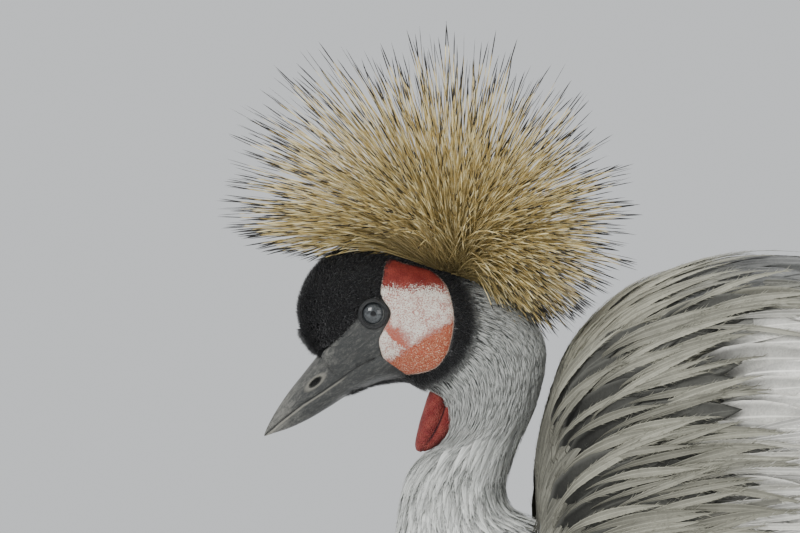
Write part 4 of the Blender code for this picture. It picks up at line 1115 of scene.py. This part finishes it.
# Bill.
# Two halves of slate-grey horn, arched along the ridge, with a slot of a nostril on each side.
UPPER_BILL = (  # ridge (x, z), mouth line (x, z) and half width, from the eye
    (-0.0227, -0.0135, -0.0086, -0.0286, 0.0187),
    (-0.0302, -0.0227, -0.0167, -0.0340, 0.0145),
    (-0.0383, -0.0329, -0.0275, -0.0416, 0.0098),
    (-0.0464, -0.0432, -0.0383, -0.0486, 0.0065),
    (-0.0535, -0.0540, -0.0486, -0.0567, 0.0042),
    (-0.0578, -0.0621, -0.0562, -0.0629, 0.0020),
    (-0.0594, -0.0659, -0.0592, -0.0662, 0.0005),
)
LOWER_BILL = (  # chin (x, z), mouth line (x, z) and half width, from the eye
    (0.0190, -0.0360, 0.0130, -0.0215, 0.0165),
    (0.0066, -0.0368, 0.0030, -0.0250, 0.0192),
    (-0.0054, -0.0405, -0.0086, -0.0293, 0.0172),
    (-0.0130, -0.0437, -0.0167, -0.0347, 0.0132),
    (-0.0238, -0.0505, -0.0275, -0.0423, 0.0082),
    (-0.0351, -0.0572, -0.0383, -0.0493, 0.0055),
    (-0.0464, -0.0624, -0.0486, -0.0574, 0.0035),
    (-0.0551, -0.0652, -0.0556, -0.0638, 0.0016),
    (-0.0582, -0.0664, -0.0583, -0.0659, 0.0005),
)
NOSTRIL = Vector((-0.0313, -0.0370))
NOSTRIL_SLOPE = Vector((math.cos(math.radians(40)), math.sin(math.radians(40))))
NOSTRIL_HALVES = (0.0048, 0.0018)
NOSTRIL_DEPTH = 0.0026
BILL_RINGS, BILL_SIDES = 72, 40
FACE_RISE = 0.0011
FACE = (
    *LORES[:5], (-0.0240, -0.0178), (-0.0275, -0.0215), (-0.0285, -0.0290), (-0.0240, -0.0365),
    (-0.0150, -0.0410), *LORES[10:],
)
FACE_SUNK = 0.0035
PATCH_RINGS = 30
PATCH_TURNS = 144
skin_tree = BVHTree.FromPolygons(points_of(skin).tolist(), [list(p.vertices) for p in skin.data.polygons])


def rounded(outline, count):
    """A smooth closed curve through the corners of an outline."""
    corners = np.array(outline)
    at = np.linspace(0, len(corners), count, endpoint=False)
    low = at.astype(int)
    part = (at - low)[:, None]
    a, b, c, d = (corners[(low + k) % len(corners)] for k in (-1, 0, 1, 2))
    square, cube = 2 * a - 5 * b + 4 * c - d, 3 * b - a - 3 * c + d
    return 0.5 * (2 * b + (c - a) * part + square * part**2 + cube * part**3)


def bare_patch(outline, side, rise, sunk):
    """A closed shield of skin over the head: domed in the middle and rolled under at its rim."""
    edge = rounded(outline, PATCH_TURNS)
    middle = edge.mean(axis=0)
    rings = []
    for share in list(np.linspace(0.02, 1.0, PATCH_RINGS)) + [0.985, 0.5, 0.02]:
        front = len(rings) < PATCH_RINGS
        ring = []
        for x, z in middle + (edge - middle) * share:
            start = Vector((EYE.x + x, side * 0.06, EYE.z + z))
            spot = skin_tree.ray_cast(start, Vector((0, -side, 0)), 0.059)[0]
            flank = abs(spot.y) if spot else 0.004
            height = -0.0004 + (rise + 0.0004) * (1 - share**14) ** 0.5 if front else -sunk
            ring.append(Vector((start.x, side * max(flank + height, 0.0015), start.z)))
        rings.append(ring)
    return loft(rings)


MOUTH = np.array([  # line between the two halves, from the eye
    (0.0004, -0.0243), (-0.0086, -0.0286), (-0.0167, -0.0343), (-0.0275, -0.0419), (-0.0383, -0.0489),
    (-0.0486, -0.0570), (-0.0559, -0.0634), (-0.0600, -0.0668),
])
horn_finish, tree, shader = finish_of("slate horn", 0.42, 0.45, coat=0.04)
turned_along = mapped(tree, "Rotation", (0, math.radians(40), 0))
scratches = noise(tree, 1.0, 5.0, 0.7, mapped(tree, "Scale", (90, 700, 700), turned_along))
cloudy = noise(tree, 150.0, 4.0, 0.6)
fine = noise(tree, 1100.0, 4.0, 0.75)
toward_tip = attribute(tree, "tip", "Fac")
ridge = attribute(tree, "ridge", "Fac")
# paler towards the tip and along the top of the upper half, with scratches and fine grain
paling = sums(tree, "MULTIPLY_ADD", toward_tip, 0.30, sums(tree, "MULTIPLY_ADD", ridge, 0.16, scratches))
paling = sums(tree, "MULTIPLY_ADD", around_half(tree, fine), 0.55, paling)
base = blend(tree, spread(tree, paling, 0.42, 0.98), (0.026, 0.028, 0.027, 1), (0.190, 0.186, 0.165, 1))
base = blend(tree, spread(tree, cloudy, 0.40, 0.75, 0.0, 0.5), base, (0.034, 0.034, 0.032, 1))
# painted highlight along the edge of the lower half under the mouth line, with a paler rim round each nostril
base = blend(tree, times(tree, attribute(tree, "lip_highlight", "Fac"), 0.6), base, (0.30, 0.285, 0.235, 1))
# painted shade: near black in the groove of the mouth line and in the nostrils
base = blend(tree, attribute(tree, "hollow_shade", "Fac"), base, (0.010, 0.010, 0.009, 1))
wire(tree, base, shader.inputs["Base Color"])
emboss(tree, shader, sums(tree, "MULTIPLY_ADD", fine, 0.7, scratches), 0.0006)


def half_oval(row, overlap):
    """A ring of half of the bill, flat on the mouth line and arched away from it."""
    ridge = EYE + Vector((row[0], 0, row[1]))
    mouth = EYE + Vector((row[2], 0, row[3]))
    mouth += (mouth - ridge).normalized() * overlap
    points = []
    for i in range(BILL_SIDES):
        angle = math.pi * (i / (BILL_SIDES - 1) - 0.5)
        height = max(math.cos(angle), 0.0) ** 0.85 if 0 < i < BILL_SIDES - 1 else 0.0
        points.append(mouth + (ridge - mouth) * height + Vector((0, row[4] * math.sin(angle), 0)))
    return points


halves = [smooth_rows(rows, BILL_RINGS) for rows in (UPPER_BILL, LOWER_BILL)]
pieces = [loft([half_oval(row, 0.0006) for row in rows]) for rows in halves]
pieces += [bare_patch(grown_outline(FACE, 1.03), side, FACE_RISE, FACE_SUNK) for side, _ in SIDES]
bill = place(merged(*pieces), "bill_and_face", horn_finish, "upper_bill", "lower_bill", material_slot="horn")
knit(bill, 0.0005, 10)
co = points_of(bill)
flat = np.stack(from_eye(co), axis=-1)
near, under = np.full(len(co), 1.0), np.zeros(len(co))
for a, b in zip(MOUTH, MOUTH[1:]):
    run = b - a
    part = np.clip(((flat - a) @ run) / (run @ run), 0, 1)
    off = flat - a - part[:, None] * run
    far = np.linalg.norm(off, axis=1)
    closer = far < near
    near = np.where(closer, far, near)
    under = np.where(closer, -(off[:, 1] * -run[0] + off[:, 0] * run[1]) / np.linalg.norm(run), under)
slot_off = flat - np.array(NOSTRIL)
along = slot_off @ np.array(NOSTRIL_SLOPE) / NOSTRIL_HALVES[0]
high = slot_off @ np.array((-NOSTRIL_SLOPE.y, NOSTRIL_SLOPE.x)) / NOSTRIL_HALVES[1]
slot_far = np.hypot(along, high)
groove = 1 - fade(near, 0.00015, 0.0009)
pit = 1 - fade(slot_far, 0.35, 1.0)
brim = fade(slot_far, 0.7, 1.1) * fade(slot_far, 1.8, 1.2)
push = 0.0006 * groove + NOSTRIL_DEPTH * pit - 0.00035 * brim
co[:, 1] -= np.sign(co[:, 1]) * np.minimum(push, np.abs(co[:, 1]) * 0.8)
bill.data.vertices.foreach_set("co", co.ravel())
bill.data.update()
# painted highlight: a pale band along the lower half's edge, just under the mouth line
lip_highlight = fade(under, 0.0004, 0.0008) * fade(under, 0.0018, 0.0011) * fade(flat[:, 0], -0.012, -0.020)
marks = {
    # painted shade in the groove of the mouth line and in the nostril pits
    "hollow_shade": np.maximum(1 - fade(near, 0.00012, 0.00042), pit),
    "lip_highlight": lip_highlight + 0.8 * brim,
    "tip": fade(flat[:, 0], -0.030, -0.056),
    "ridge": fade(near, 0.006, 0.012) * fade(flat[:, 0], -0.016, -0.026) * (under < 0),
}
for key, values in marks.items():
    mark(bill.data, key, "FLOAT", "value", values)


# Eyes.
# Glass eyes with a pale blue-grey iris and a small pupil, set in a dark wrinkled ring of lid.
EYE_RADIUS = 0.008
EYE_SIDE = 0.0180
IRIS_RADIUS = 0.0062
PUPIL_RADIUS = 0.0015
LID_MIDDLE, LID_ROUND, LID_SIDE = 0.0071, 0.0012, 0.0238


def eye_place(tree):
    """Where a place on the head lies, seen from the side: behind the eye, above it, and away from it."""
    x, _, z = split(tree, where(tree))
    x, z = sums(tree, "SUBTRACT", x, EYE.x), sums(tree, "SUBTRACT", z, EYE.z)
    return x, z, sums(tree, "SQRT", sums(tree, "MULTIPLY_ADD", x, x, times(tree, z, z)))


eye_finish, tree, shader = finish_of("glass eye", 0.10, 0.35, coat=0.35)
_, _, radius = eye_place(tree)
streaks = spread(tree, noise(tree, 700.0, 3.0), 0.3, 0.7)
iris = blend(tree, streaks, (0.026, 0.029, 0.031, 1), (0.080, 0.087, 0.092, 1))
iris = blend(tree, spread(tree, radius, IRIS_RADIUS * 0.62, IRIS_RADIUS), iris, (0.012, 0.014, 0.016, 1))
pupil = spread(tree, radius, PUPIL_RADIUS * 0.92, PUPIL_RADIUS * 1.08)
base = blend(tree, pupil, (0.004, 0.004, 0.005, 1), iris)
base = blend(tree, spread(tree, radius, IRIS_RADIUS, IRIS_RADIUS * 1.04), base, (0.01, 0.01, 0.01, 1))
wire(tree, base, shader.inputs["Base Color"])

lid_finish, tree, shader = finish_of("lid skin", 0.5, 0.4)
_, _, radius = eye_place(tree)
wrinkle = noise(tree, 900.0, 4.0, 0.65)
ripple = sums(tree, "SINE", sums(tree, "MULTIPLY_ADD", radius, 9500.0, times(tree, wrinkle, 7.0)))
relief = sums(tree, "MULTIPLY_ADD", ripple, 0.25, wrinkle)
base = blend(tree, spread(tree, relief, 0.2, 0.9), (0.006, 0.006, 0.007, 1), (0.052, 0.054, 0.054, 1))
wire(tree, base, shader.inputs["Base Color"])
emboss(tree, shader, relief, 0.0006)
for side, side_name in SIDES:
    bm = bmesh.new()
    bmesh.ops.create_uvsphere(bm, u_segments=64, v_segments=40, radius=EYE_RADIUS)
    bmesh.ops.rotate(bm, cent=(0, 0, 0), matrix=Matrix.Rotation(math.radians(90), 3, "X"), verts=bm.verts)
    bmesh.ops.translate(bm, vec=EYE + Vector((0, side * EYE_SIDE, 0)), verts=bm.verts)
    place(bm, side_name + "_eyeball", eye_finish, side_name + "_eye", material_slot="eye")
    bm = bmesh.new()
    bmesh.ops.create_circle(bm, segments=16, radius=LID_ROUND)
    bmesh.ops.translate(bm, vec=(LID_MIDDLE, 0, 0), verts=bm.verts)
    bmesh.ops.spin(bm, geom=bm.edges[:] + bm.verts[:], cent=(0, 0, 0), axis=(0, 1, 0), angle=2 * math.pi,
                   steps=64, use_merge=True)
    bmesh.ops.remove_doubles(bm, verts=bm.verts, dist=1e-6)
    bmesh.ops.translate(bm, vec=EYE + Vector((0, side * LID_SIDE, 0)), verts=bm.verts)
    bmesh.ops.recalc_face_normals(bm, faces=bm.faces)
    place(bm, side_name + "_lids", lid_finish, material_slot="velvet")


# Cheeks.
# Bare, finely pebbled skin: a white patch behind each eye with a crimson top and an orange-red
# foot, in a thin pale rim.
CHEEK_RISE, CHEEK_SUNK = 0.0023, 0.0005
FOOT_SLOPE, FOOT_TOP = 0.63, -0.0303  # line above the orange foot of the patch, from the eye
STREAK_MIDDLE = (0.0128, -0.0125)  # of a short orange streak within the white
CRIMSON_FOOT = (0.0125, 0.0142)  # height at which the crimson begins


def rim_share(obj, outline):
    """How far out towards the rim each point of a patch lies."""
    edge = rounded(outline, PATCH_TURNS)
    middle = edge.mean(axis=0)
    far = np.hypot(*(edge - middle).T)
    turn = np.arctan2(*(edge - middle).T[::-1])
    order = np.argsort(turn)
    off = np.stack(from_eye(points_of(obj)), axis=-1) - middle
    reach = np.interp(np.arctan2(off[:, 1], off[:, 0]), turn[order], far[order], period=2 * math.pi)
    mark(obj.data, "rim", "FLOAT", "value", np.hypot(*off.T) / reach)


cheek_finish, tree, shader = finish_of("cheek skin", 0.62, 0.3)
grit = noise(tree, 1500.0, 3.0, 0.75)
blotch = noise(tree, 160.0, 3.0, 0.6)
pebble = pebbles(tree, 1250.0)
loose = around_half(tree, grit)
wavy = around_half(tree, noise(tree, 300.0, 4.0, 0.7))
ragged = sums(tree, "MULTIPLY_ADD", wavy, 0.010, times(tree, loose, 0.022))
x_off, z_off, _ = eye_place(tree)
z_off = sums(tree, "ADD", z_off, ragged)
speck = sums(tree, "MULTIPLY_ADD", spread(tree, blotch, 0.30, 0.70), 0.11, grit)
speck = spread(tree, speck, 0.545, 0.590, 0.0, 0.85)
white = blend(tree, speck, (0.74, 0.71, 0.63, 1), (0.38, 0.13, 0.10, 1))
crimson = blend(tree, spread(tree, blotch, 0.3, 0.7), (0.18, 0.020, 0.016, 1), (0.28, 0.045, 0.032, 1))
crimson = blend(tree, times(tree, spread(tree, pebble, 0.35, 0.8), 0.5), crimson, (0.12, 0.008, 0.008, 1))
orange = blend(tree, spread(tree, grit, 0.42, 0.58), (0.27, 0.055, 0.028, 1), (0.44, 0.165, 0.080, 1))
orange = blend(tree, spread(tree, blotch, 0.35, 0.65, 0.0, 0.5), orange, (0.44, 0.090, 0.045, 1))
speck = sums(tree, "MULTIPLY_ADD", blotch, 0.10, grit)
orange = blend(tree, spread(tree, speck, 0.615, 0.665, 0.0, 0.8), orange, (0.66, 0.50, 0.38, 1))
below = sums(tree, "SUBTRACT", z_off, sums(tree, "MULTIPLY_ADD", x_off, FOOT_SLOPE, FOOT_TOP))
base = blend(tree, spread(tree, below, 0.0015, -0.0015), white, orange)
streak_x = sums(tree, "SUBTRACT", x_off, STREAK_MIDDLE[0])
streak_z = sums(tree, "SUBTRACT", z_off, STREAK_MIDDLE[1])
falling = times(tree, sums(tree, "ADD", streak_x, streak_z), 260.0)
rising = times(tree, sums(tree, "SUBTRACT", streak_x, streak_z), 85.0)
streak = sums(tree, "MULTIPLY_ADD", falling, falling, times(tree, rising, rising))
streak = sums(tree, "MULTIPLY_ADD", loose, 9.0, streak)
base = blend(tree, spread(tree, streak, 1.1, 0.8, 0.0, 0.95), base, (0.40, 0.085, 0.048, 1))
base = blend(tree, spread(tree, z_off, *CRIMSON_FOOT), base, crimson)
rim = spread(tree, attribute(tree, "rim", "Fac"), 0.945, 0.975, 0.0, 0.7)
base = blend(tree, rim, base, (0.60, 0.50, 0.42, 1))
wire(tree, base, shader.inputs["Base Color"])
emboss(tree, shader, times(tree, pebble, -1.0), 0.00045)

for side, side_name in SIDES:
    cheek = place(bare_patch(CHEEK, side, CHEEK_RISE, CHEEK_SUNK), side_name + "_cheek_skin", cheek_finish,
                  side_name + "_cheek", material_slot="skin")
    rim_share(cheek, CHEEK)


# Wattle.
# Two limp folds of red, pebbled skin hung from the throat, with painted shade in the crease where they meet.
WATTLE_FOLDS = (  # x and z from the eye, and radius
    ((0.0356, -0.0380, 0.0034), (0.0335, -0.0481, 0.0052), (0.0308, -0.0578, 0.0055),
     (0.0272, -0.0675, 0.0044), (0.0252, -0.0722, 0.0031), (0.0243, -0.0745, 0.0014)),
    ((0.0440, -0.0415, 0.0032), (0.0430, -0.0497, 0.0046), (0.0393, -0.0589, 0.0048),
     (0.0331, -0.0675, 0.0039), (0.0285, -0.0718, 0.0027), (0.0266, -0.0740, 0.0012)),
)
FOLD_SIZES = (0.0052, 0.0043)  # usual radius of each, which says where the crease runs


def limb(points, radii, sides=24, flat=1.0):
    """A round limb in the plane of its own points, with a radius at each."""
    rings = []
    for i, (point, radius) in enumerate(zip(points, radii)):
        ahead = (points[min(i + 1, len(points) - 1)] - points[max(i - 1, 0)]).normalized()
        across = Vector((0, 1, 0)) if abs(ahead.y) < 0.9 else Vector((0, 0, 1))
        up = ahead.cross(across).normalized()
        across = up.cross(ahead)
        ring = []
        for k in range(sides):
            turn = 2 * math.pi * k / sides
            ring.append(point + (up * math.cos(turn) + across * math.sin(turn) * flat) * radius)
        rings.append(ring)
    return loft(rings)


wattle_finish, tree, shader = finish_of("wattle skin", 0.5, 0.4)
blotch, pebble = noise(tree, 200.0, 3.0), pebbles(tree, 1500.0)
base = blend(tree, spread(tree, blotch, 0.3, 0.7), (0.20, 0.026, 0.022, 1), (0.34, 0.075, 0.054, 1))
base = blend(tree, spread(tree, pebble, 0.35, 0.8, 0.0, 0.7), base, (0.20, 0.012, 0.016, 1))
# painted shade: near black in the crease where the two folds meet
base = blend(tree, attribute(tree, "crease_shade", "Fac"), base, (0.035, 0.004, 0.008, 1))
wire(tree, base, shader.inputs["Base Color"])
emboss(tree, shader, times(tree, pebble, -1.0), 0.0009)
folds, middles = [], []
for fold in WATTLE_FOLDS:
    rows = smooth_rows(fold, 40)
    path = [EYE + Vector((x, 0, z)) for x, z, _ in rows]
    middles.append(np.array(path))
    folds.append(limb(path, [r for _, _, r in rows], 28, 1.1))
wattle = knit(place(merged(*folds), "wattle_folds", wattle_finish, "wattle", material_slot="skin"), 0.0006, 3)
co = points_of(wattle)
reach = [np.linalg.norm(co[:, None] - middle[None], axis=2).min(axis=1) for middle in middles]
near = np.abs(reach[0] / FOLD_SIZES[0] - reach[1] / FOLD_SIZES[1])
crease_shade = (1 - fade(near, 0.04, 0.22)) * fade(co[:, 2] - EYE.z, -0.0725, -0.066)
mark(wattle.data, "crease_shade", "FLOAT", "value", crease_shade)


# Shanks, feet and claws.
# Long black legs of horny scutes, thick at the hock, on three splayed toes and a short hind one.
SHANK = (  # x, z, radius
    (0.012, 0.3150, 0.0078), (0.020, 0.255, 0.0065), (0.026, 0.222, 0.0090), (0.027, 0.208, 0.0105),
    (0.025, 0.192, 0.0080), (0.019, 0.150, 0.0058), (0.009, 0.070, 0.0056), (0.003, 0.030, 0.0070),
    (0.002, 0.012, 0.0085),
)
SCUTE_STEP, SCUTE_DEPTH = 0.0052, 0.012
ANKLE = (0.011, 0.010, 0.0118)  # half sizes of the knob in which the toes meet
ANKLE_HEIGHT = 0.0105
TOES = (  # turn in degrees, length, radius
    (0, 0.085, 0.0052), (36, 0.066, 0.0046), (-36, 0.068, 0.0046), (180, 0.040, 0.0042),
)
TOE_SHAPE = (  # share of the length, and of the radius
    (0.0, 1.25), (0.14, 1.02), (0.27, 1.14), (0.42, 0.94), (0.53, 1.06), (0.68, 0.86), (0.78, 0.96),
    (0.90, 0.62),
)
CLAW_SHAPE = (  # share of the length, and radius and height as shares of the radius
    (0.84, 0.42, 0.95), (0.90, 0.42, 0.98), (0.95, 0.32, 0.80), (0.985, 0.18, 0.42), (1.0, 0.05, 0.14),
)
leg_finish, tree, shader = finish_of("leg horn", 0.48, 0.4)
scutes = pebbles(tree, 360.0, mapped(tree, "Scale", (0.55, 0.55, 1.0)))
dust = spread(tree, noise(tree, 300.0, 4.0), 0.35, 0.75)
base = blend(tree, dust, (0.011, 0.011, 0.012, 1), (0.055, 0.054, 0.052, 1))
base = blend(tree, spread(tree, scutes, 0.4, 0.8, 0.0, 0.7), base, (0.006, 0.006, 0.006, 1))
wire(tree, base, shader.inputs["Base Color"])
emboss(tree, shader, times(tree, scutes, -1.0), 0.0007)
claw_finish, tree, shader = finish_of("claw horn", 0.25, 0.5, coat=0.3)
wire(tree, (0.012, 0.011, 0.011, 1), shader.inputs["Base Color"])
for side, side_name in SIDES:
    rows = smooth_rows(SHANK, 120)
    ripple = 1 + SCUTE_DEPTH * np.sin(rows[:, 1] * 2 * math.pi / SCUTE_STEP)
    path = [Vector((x, side * LEG_SIDE, z)) for x, z, _ in rows]
    place(limb(path, rows[:, 2] * ripple, 40), side_name + "_scutes", leg_finish, side_name + "_shank",
          material_slot="leg")
    ground = Vector((0.002, side * LEG_SIDE, 0))
    bm = bmesh.new()
    bmesh.ops.create_uvsphere(bm, u_segments=40, v_segments=24, radius=1.0)
    bmesh.ops.scale(bm, vec=ANKLE, verts=bm.verts)
    bmesh.ops.translate(bm, vec=ground + Vector((0, 0, ANKLE_HEIGHT)), verts=bm.verts)
    pieces, claws = [bm], []
    for turn, length, radius in TOES:
        way = Vector((-math.cos(math.radians(turn)), side * math.sin(math.radians(turn)), 0))
        rows = smooth_rows(TOE_SHAPE, 60)
        path = [ground + way * length * share + Vector((0, 0, radius * size * 0.88)) for share, size in rows]
        pieces.append(limb(path, [radius * size for _, size in rows], 28))
        rows = smooth_rows(CLAW_SHAPE, 24)
        path = [ground + way * length * share + Vector((0, 0, radius * rise * 0.9))
                for share, _, rise in rows]
        claws.append(limb(path, [radius * size for _, size, _ in rows], 20))
    foot = place(merged(*pieces), side_name + "_toes", leg_finish, side_name + "_foot", material_slot="leg")
    knit(foot, 0.0008, 2)
    for vert in foot.data.vertices:
        vert.co.z = max(vert.co.z, 0.0)
    place(merged(*claws), side_name + "_claws", claw_finish, side_name + "_foot", material_slot="leg")


# Studio.
# A plain pale floor under three broad, soft lamps, with the camera on the bird's left side.
CAMERA_PLACE = (-0.2327, -3.0, 0.6253)  # far off to the bird's left, level with its crown
CAMERA_LENS, CAMERA_SENSOR = 250.0, 36.0  # mm
FLOOR_HALF = 6.0
SKY_COLOUR, SKY_POWER = (0.80, 0.82, 0.84, 1), 0.9
LAMP_AIM = Vector((-0.2, 0, 0.6))
LAMPS = (  # name, place, power, size
    ("key", (-1.6, -2.2, 2.4), 70, 1.2),
    ("fill", (1.8, -2.0, 1.2), 20, 1.5),
    ("rim", (0.6, 2.0, 2.2), 50, 1.2),
)
camera_data = bpy.data.cameras.new("camera")
camera_data.lens = CAMERA_LENS
camera_data.sensor_width = CAMERA_SENSOR
camera = bpy.data.objects.new("camera", camera_data)
camera.location = CAMERA_PLACE
camera.rotation_euler = (math.radians(90), 0, 0)
bpy.context.scene.collection.objects.link(camera)
bpy.context.scene.camera = camera
bm = bmesh.new()
bmesh.ops.create_grid(bm, x_segments=1, y_segments=1, size=FLOOR_HALF)
floor_mesh = bpy.data.meshes.new("floor")
bm.to_mesh(floor_mesh)
bm.free()
floor = bpy.data.objects.new("floor", floor_mesh)
bpy.context.scene.collection.objects.link(floor)
world = bpy.data.worlds.new("studio")
world.use_nodes = True
sky = world.node_tree.nodes["Background"]
sky.inputs[0].default_value = SKY_COLOUR
sky.inputs[1].default_value = SKY_POWER
bpy.context.scene.world = world
for name, place_at, power, size in LAMPS:
    lamp = bpy.data.lights.new(name, "AREA")
    lamp.energy = power
    lamp.size = size
    obj = bpy.data.objects.new(name, lamp)
    obj.location = place_at
    obj.rotation_euler = (LAMP_AIM - Vector(place_at)).to_track_quat("-Z", "Y").to_euler()
    bpy.context.scene.collection.objects.link(obj)
